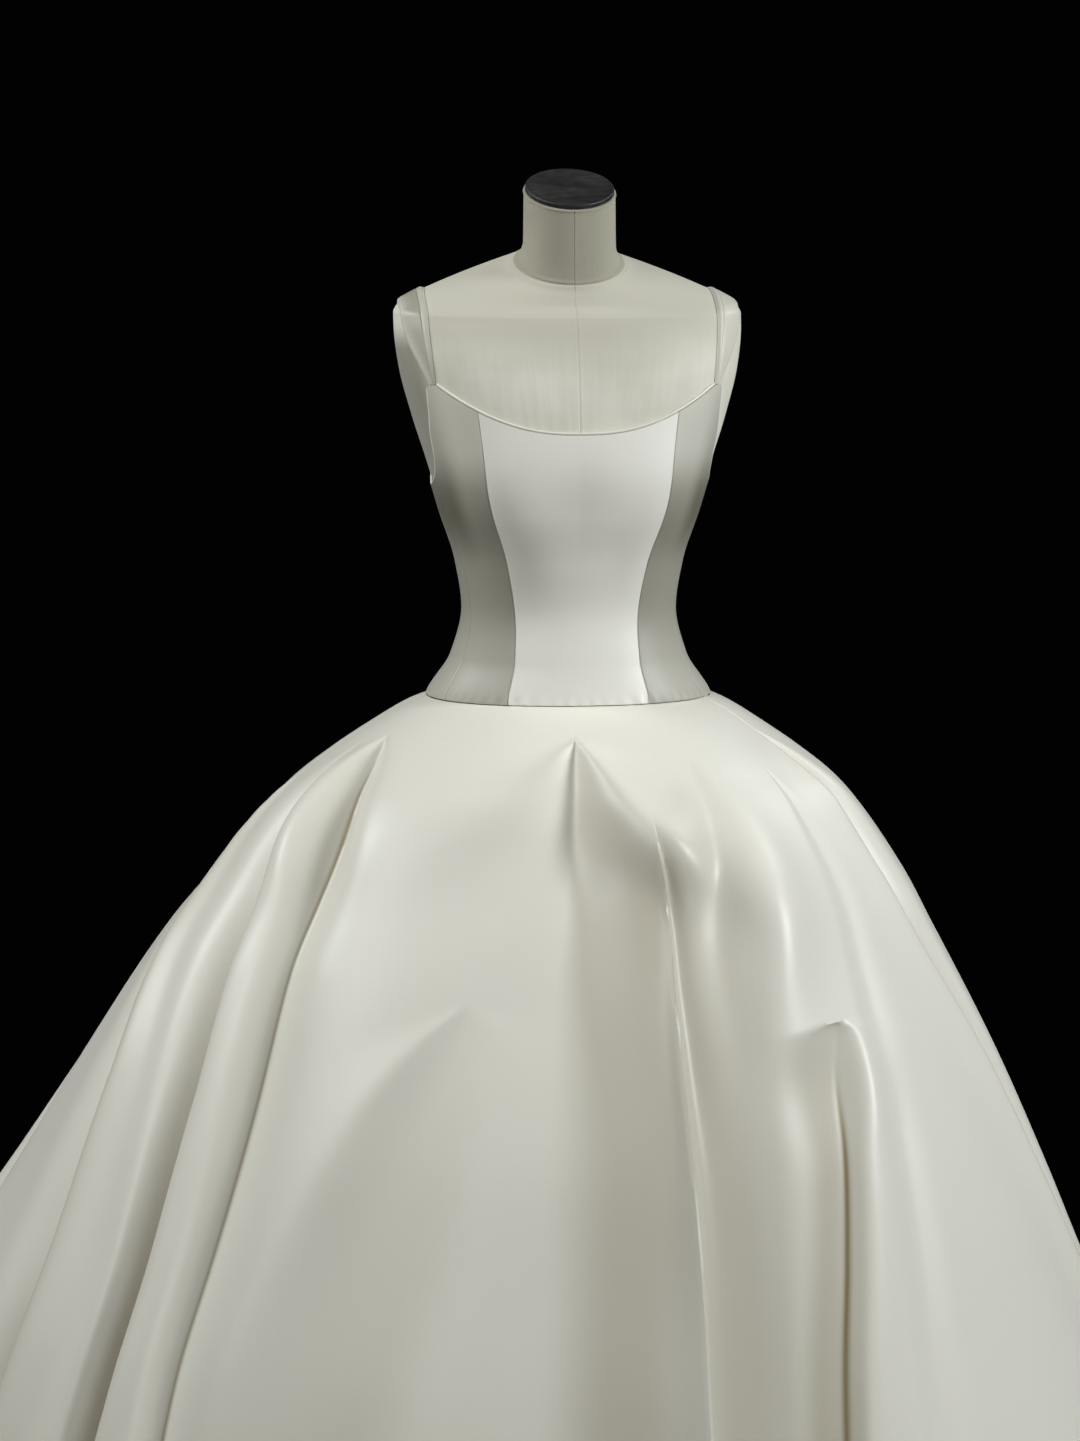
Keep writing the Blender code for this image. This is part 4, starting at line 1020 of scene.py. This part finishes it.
# One row for each fold, named by where it lies. Left and right are as seen from outside.
# hem to top: the turn of its valley at the five fold heights.
# tip: the height of its tip. run: the drop over which it opens. depth: how deep it is.
# hollow: how much deeper it is in the hollow under its tip. drop: how far down that is.
# left, right: the width of its two banks. close: how much narrower they get lower down.
# closing: the drop over which they do, and over which the painted shade of the valley sets in.
# roll_left, roll_right: the roll at the end of each bank, as a share of the depth.
# crease: the radius of its valley. crisp: that of its one crisp roll (+ is the right one).
# lean: how far that roll leans over the valley.
# dark: how far up its banks the painted shade of the valley reaches.
# left and right bank shade: how much painted shade each bank has.
# opens: how much wider the crease is well below the tip, as a share of the right bank.
# blunt: how blunt its tip is, where 0 is pointed.
FOLD_COLUMNS = (
    "name", "hem", "low", "middle", "high", "top", "tip", "run", "depth", "hollow", "drop",
    "left", "right", "close", "closing", "roll_left", "roll_right", "crease", "crisp", "lean",
    "dark", "bank_shade_left", "bank_shade_right", "opens", "blunt",
)
FOLD_HEIGHTS = (0.0, 0.35, 0.60, 0.80, 0.95)
FOLDS = [dict(zip(FOLD_COLUMNS, row)) for row in (
    ("left_side", -88, -93, -101, -110, -112, 0.90, 0.20, 0.045, 0.0, 0.10,
     0.040, 0.070, 0.0, 1.0, 0.35, 0.30, 0.004, -0.006, 0.0, 0.003, 0.0, 0.0, 0.0, 0.0),
    ("left_roll", -51.6, -58, -68.8, -86, -95, 0.90, 0.15, 0.07, 0.0, 0.10,
     0.070, 0.024, 0.0, 0.1, 0.15, 0.60, 0.002, 0.005, 0.012, 0.026, 0.1, 0.0, 0.0, 0.0),
    ("left_slit", -39.5, -44.8, -51.7, -63.5, -76, 0.93, 0.10, 0.04, 1.5, 0.60,
     0.085, 0.034, 0.70, 0.55, 0.20, 0.30, 0.002, 0.004, 0.004, 0.011, 0.12, 0.0, 0.0, 0.0),
    ("left_edge", -30, -37.8, -42.6, -51, -66, 0.937, 0.016, 0.018, 1.0, 0.09,
     0.028, 0.050, 0.0, 0.06, 0.90, 0.10, 0.0025, -0.006, 0.008, 0.0022, 0.08, 0.0, 0.0, 0.0),
    ("left_swale", -28, -26.5, -22, -13, -12, 0.7, 0.3, 0.075, 0.0, 0.10,
     0.09, 0.17, 0.0, 1.0, 0.05, 0.15, 0.07, 0.0, 0.0, 0.0, 0.0, 0.26, 0.0, 0.4),
    ("centre_arch", 1.5, 0.0, -0.9, -2.8, -2.3, 0.945, 0.030, 0.040, 0.4, 0.09,
     0.06, 0.04, -1.8, 0.17, 0.0, 0.90, 0.004, 0.009, 0.004, 0.0, 0.0, 0.38, 0.42, 0.0),
    ("shade", 11.5, 11.8, 11.7, 12.3, 9, 0.88, 0.28, 0.085, 0.0, 0.10,
     0.009, 0.220, 0.0, 1.0, 0.05, 0.12, 0.010, -0.003, 0.0, 0.0, 0.0, 0.2, 0.0, 0.0),
    ("right_arch", 17, 19, 20.3, 22.5, 28, 0.925, 0.04, 0.0045, 8.0, 0.13,
     0.1, 0.034, 0.0, 1.0, 0.05, 0.70, 0.006, 0.012, 0.003, 0.0, 0.18, 0.1, 0.0, 0.0),
    ("right_slit", 21.5, 26.8, 32.8, 38, 42, 0.676, 0.03, 0.015, 0.3, 0.060,
     0.1, 0.045, 0.5, 0.14, 0.0, 0.45, 0.005, 0.006, 0.006, 0.0035, 0.36, 0.22, 0.0, 0.5),
    ("right_crease", 31, 36.2, 41, 46.2, 49, 0.91, 0.08, 0.007, 0.0, 0.10,
     0.030, 0.030, 0.0, 0.1, 0.35, 0.15, 0.003, -0.003, 0.0, 0, 0.0, 0.0, 0.0, 0.0),
    ("right_edge", 80, 73, 67.6, 62, 63.5, 0.94, 0.04, 0.042, 0.7, 0.05,
     0.024, 0.045, 0.0, 0.1, 0.35, 0.20, 0.002, -0.003, 0.010, 0.018, 0.11, 0.0, 0.0, 0.0),
    ("right_side", 113, 110, 107, 104, 100, 0.91, 0.20, 0.040, 0.0, 0.10,
     0.060, 0.055, 0.0, 1.0, 0.30, 0.30, 0.006, 0.0, 0.0, 0.002, 0.0, 0.0, 0.0, 0.0),
    ("right_rear", 139, 136, 133, 131, 128, 0.93, 0.10, 0.040, 0.4, 0.09,
     0.030, 0.070, 0.0, 1.0, 0.35, 0.30, 0.003, -0.004, 0.008, 0.004, 0.0, 0.05, 0.0, 0.0),
    ("back_right", 161, 160, 158, 156, 153, 0.90, 0.20, 0.034, 0.0, 0.10,
     0.060, 0.045, 0.0, 1.0, 0.30, 0.30, 0.006, 0.004, 0.0, 0.002, 0.0, 0.0, 0.0, 0.0),
    ("back", 181, 181, 180, 180, 180, 0.94, 0.08, 0.036, 0.5, 0.09,
     0.045, 0.055, 0.0, 1.0, 0.30, 0.35, 0.004, 0.004, 0.0, 0.004, 0.0, 0.05, 0.0, 0.0),
    ("back_left", 202, 203, 205, 206, 208, 0.88, 0.20, 0.034, 0.0, 0.10,
     0.040, 0.065, 0.0, 1.0, 0.30, 0.30, 0.006, -0.004, 0.0, 0.002, 0.0, 0.0, 0.0, 0.0),
    ("left_rear", 227, 229, 231, 232, 234, 0.93, 0.10, 0.042, 0.4, 0.09,
     0.070, 0.030, 0.0, 1.0, 0.30, 0.35, 0.003, 0.003, 0.010, 0.004, 0.05, 0.0, 0.0, 0.0),
    ("left_rear_crease", 247, 245, 243, 243, 244, 0.80, 0.20, 0.018, 0.0, 0.10,
     0.035, 0.026, 0.0, 1.0, 0.30, 0.40, 0.004, 0.003, 0.0, 0.003, 0.0, 0.0, 0.0, 0.0),
)]
ROLL_FALL = 1.3             # how far a roll falls away again, as a share of its bank
SOFT_ROLL = 0.22            # the radius of a soft roll, as a share of its bank
SOFT_TAIL = 0.45            # the radius where a roll ends, as a share of its bank
HOLLOW_SPREAD = 0.7         # how high the hollow under a tip is, as a share of its drop
CREASE_DROPS = (0.10, 0.42)  # a crease opens between these drops below its tip
LEAN_SPREAD = 0.9           # how wide the lean of a roll is, as a share of its bank
LEAST_GROWN = 0.001         # above its tip a fold counts as open this much,
LEAST_WIDTH = 0.0001        # and a width as this, so that nothing is divided by 0
VALLEY_PAINTED_SHADE = 0.78              # how dark the painted shade down a fold's valley is, where 1 is the painted shade colour
BANK_SHADE_FADE = (0.5, 1.1)      # a bank's painted shade fades between these shares of it

# The dome's section is rounder lower down and squarer from here up to the waist seam.
ROUND_POWER = 2.0
WAIST_POWER = 0.2           # added at the waist seam
SQUARE_FROM = 0.9

# The five panels of the skirt: name, node, the folds whose valleys hide its two seams, and
# its columns of points.
SKIRT_PANELS = (
    ("front_skirt_panel", "skirt_front", "left_roll", "right_edge", 400),
    ("left_side_skirt_panel", "skirt_side_left", "right_edge", "right_rear", 200),
    ("left_back_skirt_panel", "skirt_back_left", "right_rear", "back", 160),
    ("right_back_skirt_panel", "skirt_back_right", "back", "left_rear", 160),
    ("right_side_skirt_panel", "skirt_side_right", "left_rear", "left_roll", 240),
)
SKIRT_ROWS = 181
# Where the rows of points are closer, over what height, and how much closer.
SKIRT_FINE = (
    (0.86, 0.12, 2.4), (0.66, 0.025, 3.0), (SKIRT_TOP, 0.004, 6.0), (HEM, 0.003, 6.0),
)
FOLD_FINE = (9.0, 3.0)      # and round the valley of a fold, in degrees
BY_SEAM = (0.0, 0.0006, 0.0012, 0.0020)    # the distances of the points next to a seam
OFF_SEAM = 1.1              # how far from a seam the even points start, in degrees
SKIRT_DIP = 0.0008          # depth of the soft groove along a seam of the skirt
SKIRT_DIP_WIDTH = 0.0011


def fold_turn(fold, height):
    """The turn of a fold's valley at a height."""
    turns = [fold[name] for name in FOLD_COLUMNS[1:6]]
    return Profile(("height", "turn"), list(zip(FOLD_HEIGHTS, turns))).at("turn", height)


def fold_sizes(fold, height):
    """At a height, how far a fold has opened, its left and right bank and its depth."""
    below = np.maximum(fold["tip"] - height, 0.0)
    grown = (1.0 - np.exp(-below / fold["run"])) ** (1.0 - fold["blunt"])
    grown = np.maximum(grown, LEAST_GROWN)
    into_hollow = bump_at(below - fold["drop"], HOLLOW_SPREAD * fold["drop"])
    depth = fold["depth"] * grown * (1.0 + fold["hollow"] * into_hollow)
    open_share = grown * (1.0 - fold["close"] * ramp(below, 0.0, fold["closing"]))
    return grown, fold["left"] * open_share, fold["right"] * open_share, depth


def crease_spread(fold, height):
    """How much wider the crease of a fold has opened, as a share of its right bank."""
    return fold["opens"] * ramp(fold["tip"] - height, *CREASE_DROPS)


def fold_rise(fold, reach, height):
    """How far a fold moves the cloth out, across a valley between two rolls."""
    grown, left, right, depth = fold_sizes(fold, height)
    crisp = fold["crisp"] * grown
    stops = (-left * (1 + ROLL_FALL), -left, 0.0, right, right * (1 + ROLL_FALL))
    rises = (0.0, fold["roll_left"] * depth, -depth, fold["roll_right"] * depth, 0.0)
    softness = (
        SOFT_TAIL * left,
        -crisp if fold["crisp"] < 0.0 else SOFT_ROLL * left,
        fold["crease"] * grown + crease_spread(fold, height) * right,
        crisp if fold["crisp"] > 0.0 else SOFT_ROLL * right,
        SOFT_TAIL * right,
    )
    slopes = [
        (rises[i + 1] - rises[i]) / (stops[i + 1] - stops[i]) for i in range(len(stops) - 1)
    ]
    rise = np.zeros_like(reach)
    for stop, soft, before, after in zip(stops, softness, [0.0] + slopes, slopes + [0.0]):
        rise += (after - before) * soft * np.logaddexp(0.0, (reach - stop) / soft)
    return rise


def warped_turns(cloth_turn, heights):
    """Where each line of the cloth lies at each height, as it follows the folds down."""
    turns = np.empty(cloth_turn.shape)
    for r, height in enumerate(heights):
        pairs = []
        for fold in FOLDS:
            lap = fold["low"] % 360.0 - fold["low"]
            pairs.append((fold["low"] + lap, float(fold_turn(fold, height)) + lap))
        pairs.sort()
        around = [(cloth - 360.0, turn - 360.0) for cloth, turn in pairs[-2:]] + pairs
        around += [(cloth + 360.0, turn + 360.0) for cloth, turn in pairs[:2]]
        turns[r] = Profile(("cloth", "turn"), around).at("turn", cloth_turn[r] % 360.0)
    return turns


def skirt_points(cloth_turn, heights):
    """Points of the folded dome, one row for each height, and the painted shade of the folds."""
    turn = warped_turns(cloth_turn, heights)
    height = heights[:, None]
    sizes = [DOME.at(n, height) for n in ("half_width", "front", "back", "side_y")]
    climb = np.maximum(0.0, (height - SQUARE_FROM) / (SKIRT_TOP - SQUARE_FROM))
    square = ROUND_POWER + WAIST_POWER * climb
    x, y = section_point(turn, *sizes, square)
    radius = np.hypot(x, y)
    rise = np.zeros_like(turn)
    slide = np.zeros_like(turn)
    dark = np.zeros_like(turn)
    for fold in FOLDS:
        off = (turn - fold_turn(fold, height) + 180.0) % 360.0 - 180.0
        reach = np.radians(off) * radius
        rise += fold_rise(fold, reach, height)
        grown, left, right, _ = fold_sizes(fold, height)
        side = math.copysign(1.0, fold["crisp"])
        bank = right if side > 0.0 else left
        near_roll = bump_at(reach - side * bank, LEAN_SPREAD * bank)
        slide -= side * fold["lean"] * grown * near_roll
        # Painted shade: dark down each valley, and a deeper tone on its banks where the folds
        # fall into shade.
        onset = ramp(fold["tip"] - height, 0.0, fold["closing"])
        dark += VALLEY_PAINTED_SHADE * grown * onset * bump_at(reach, max(fold["dark"], LEAST_WIDTH))
        # Half the width over which the painted shade of the two banks meets.
        edge = 2.0 * fold["crease"] + 0.6 * crease_spread(fold, height) * right
        for way, bank, tone in ((-1.0, left, "bank_shade_left"), (1.0, right, "bank_shade_right")):
            up_bank = way * reach / np.maximum(bank, LEAST_WIDTH)
            inside = ramp(way * reach, -edge, edge) * (1.0 - ramp(up_bank, *BANK_SHADE_FADE))
            dark += fold[tone] * grown * inside
    turn = turn + np.degrees(slide / radius)
    x, y = section_point(turn, *sizes, square, rise)
    x = x + DOME.at("shift", height)
    return np.stack(np.broadcast_arrays(x, y, height), -1), np.clip(dark, 0.0, 1.0)


def grid_normals(grid):
    """Outward directions over a grid whose columns run round and rows run up."""
    return unit(np.cross(np.gradient(grid, axis=1), np.gradient(grid, axis=0)))


def skirt_panel(name, node, start_fold, end_fold, count):
    """One fine skirt panel between the valleys of two folds."""
    low = {fold["name"]: fold["low"] for fold in FOLDS}
    start = low[start_fold] % 360.0
    end = low[end_fold] % 360.0
    end += 360.0 if end < start else 0.0
    heights = spaced(HEM, SKIRT_TOP, SKIRT_ROWS, *SKIRT_FINE)
    spots = [(turn % 360.0 + lap, *FOLD_FINE) for turn in low.values() for lap in (0.0, 360.0)]
    # One column more than the panel's count, with those by its two seams.
    across = spaced(
        start + OFF_SEAM, end - OFF_SEAM, count + 1 - 2 * len(BY_SEAM), *spots,
    )
    radius = DOME.at("half_width", heights)[:, None]
    offset = np.degrees((np.array(BY_SEAM) + SEAM_GAP / 2)[None, :] / radius)
    columns = np.concatenate((
        start + offset,
        np.broadcast_to(across, (len(heights), len(across))),
        (end - offset)[:, ::-1],
    ), axis=1)
    outer, dark = skirt_points(columns, heights)
    normals = grid_normals(outer)
    inner = outer - normals * SKIRT_CLOTH
    from_left, from_right = edge_distance(outer)
    dip = bump_at(from_left, SKIRT_DIP_WIDTH) + bump_at(from_right, SKIRT_DIP_WIDTH)
    outer = outer - normals * (SKIRT_DIP * np.clip(dip, 0.0, 1.0))[..., None]
    piece = cloth_shell(name, outer, inner, cloth_uv(outer), SKIRT_SATIN)
    store_painted_shade(piece, dark)
    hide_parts(node)
    return piece


# ---- the piece's setting ------------------------------------------------------------

CAMERA_TURN = -5.5          # degrees round from the front
CAMERA_DISTANCE = 3.3       # from the form's axis
CAMERA_HEIGHT = 1.40
CAMERA_SIDE = -0.032        # how far it is moved to its right
CAMERA_PITCH = 7.896        # degrees down
LENS = 74.95


def build_camera():
    """The camera, level with the shoulders and a little to the side."""
    turn = math.radians(CAMERA_TURN)
    pitch = math.radians(CAMERA_PITCH)
    right = Vector((math.cos(turn), math.sin(turn), 0.0))
    back = Vector((math.sin(turn), -math.cos(turn), 0.0))
    place = back * CAMERA_DISTANCE + right * CAMERA_SIDE + Vector((0.0, 0.0, CAMERA_HEIGHT))
    ahead = -back * math.cos(pitch) - Vector((0.0, 0.0, math.sin(pitch)))
    up = right.cross(ahead)
    lens = bpy.data.cameras.new("camera")
    lens.lens = LENS
    lens.sensor_width = 36.0
    camera = bpy.data.objects.new("camera", lens)
    axes = Matrix((right, up, -ahead)).transposed().to_4x4()
    camera.matrix_world = Matrix.Translation(place) @ axes
    bpy.context.scene.collection.objects.link(camera)
    bpy.context.scene.camera = camera


COOL = (0.942, 0.972, 0.985)
WARM = (1.0, 0.94, 0.83)
LIGHT_AIM = Vector((0.0, 0.0, 0.95))        # the middle of the gown
LIGHT_DISTANCE = 3.0
LIGHT_COLUMNS = ("name", "turn", "climb", "size", "power", "colour")
LIGHTS = (
    ("right_light", 62.0, 28.0, 0.8, 58.0, COOL),
    ("front_light", 14.0, 12.0, 0.9, 9.0, COOL),
    ("left_light", -100.0, 40.0, 0.8, 38.0, COOL),
    ("left_front_light", -62.0, 40.0, 1.0, 25.0, COOL),
    ("right_rear_light", 108.0, 42.0, 0.8, 15.0, COOL),
    ("fill_light", -34.0, 38.0, 1.6, 10.0, WARM),
)


def soft_light(name, turn, climb, size, power, colour):
    """A square soft light, aimed at the gown, by its turn round it and its climb in degrees."""
    turn, climb = math.radians(turn), math.radians(climb)
    way = Vector((
        math.sin(turn) * math.cos(climb), -math.cos(turn) * math.cos(climb), math.sin(climb),
    ))
    lamp = bpy.data.lights.new(name, "AREA")
    lamp.size = size
    lamp.energy = power
    lamp.color = colour
    placed = bpy.data.objects.new(name, lamp)
    placed.location = LIGHT_AIM + way * LIGHT_DISTANCE
    placed.rotation_euler = (-way).to_track_quat("-Z", "Y").to_euler()
    bpy.context.scene.collection.objects.link(placed)


FLOOR_OUTLINE = ((1.20, -0.012), (1.21, -0.003), (1.205, 0.0), (1.20, 0.0))    # radius, level
ROOM_COLOUR = (0.0006, 0.0006, 0.0007, 1.0)


def build_setting():
    """Floor, lights and a dark room."""
    turns = np.linspace(0.0, 2 * math.pi, 129)[:-1]
    rings = np.array([
        np.stack((r * np.cos(turns), r * np.sin(turns), np.full_like(turns, z)), -1)
        for r, z in FLOOR_OUTLINE
    ])
    made, tree, inputs = surface("pale_floor", Roughness=0.8)
    _, place = cloth_coordinates(tree)
    patch = place_group(tree, PATCHES, [("Place", place)], Size=3.0)["Patch"]
    colour = blend_colours(tree, patch, (0.62, 0.61, 0.59), (0.56, 0.55, 0.53))
    tree.links.new(colour, inputs["Base Color"])
    floor = tube("floor", rings, made)
    for row in LIGHTS:
        soft_light(**dict(zip(LIGHT_COLUMNS, row)))
    world = bpy.data.worlds.new("dark_room")
    world.use_nodes = True
    world.node_tree.nodes["Background"].inputs["Color"].default_value = ROOM_COLOUR
    bpy.context.scene.world = world
    bpy.context.scene.view_settings.view_transform = "Standard"


# The stand's metals: colour, shade, roughness and grain. Its nodes and their finishes.
IRON = ((0.035, 0.035, 0.037), (0.024, 0.024, 0.026), 0.5, 900.0)
STEEL = ((0.48, 0.48, 0.49), (0.40, 0.40, 0.41), 0.32, 600.0)
STAND = (
    ("stand_base", "stand_base_iron", *IRON),
    ("stand_flange", "stand_flange_iron", *IRON),
    ("stand_pole", "brushed_steel", *STEEL),
)

# ---- everything together ------------------------------------------------------------

build_camera()
build_form()
build_cap()
for node, *finish in STAND:
    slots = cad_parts[node].data.materials
    slots.clear()
    slots.append(metal(*finish))

cloth = build_bodice() + build_bindings() + build_straps()
cloth += [skirt_panel(*row) for row in SKIRT_PANELS]

build_setting()
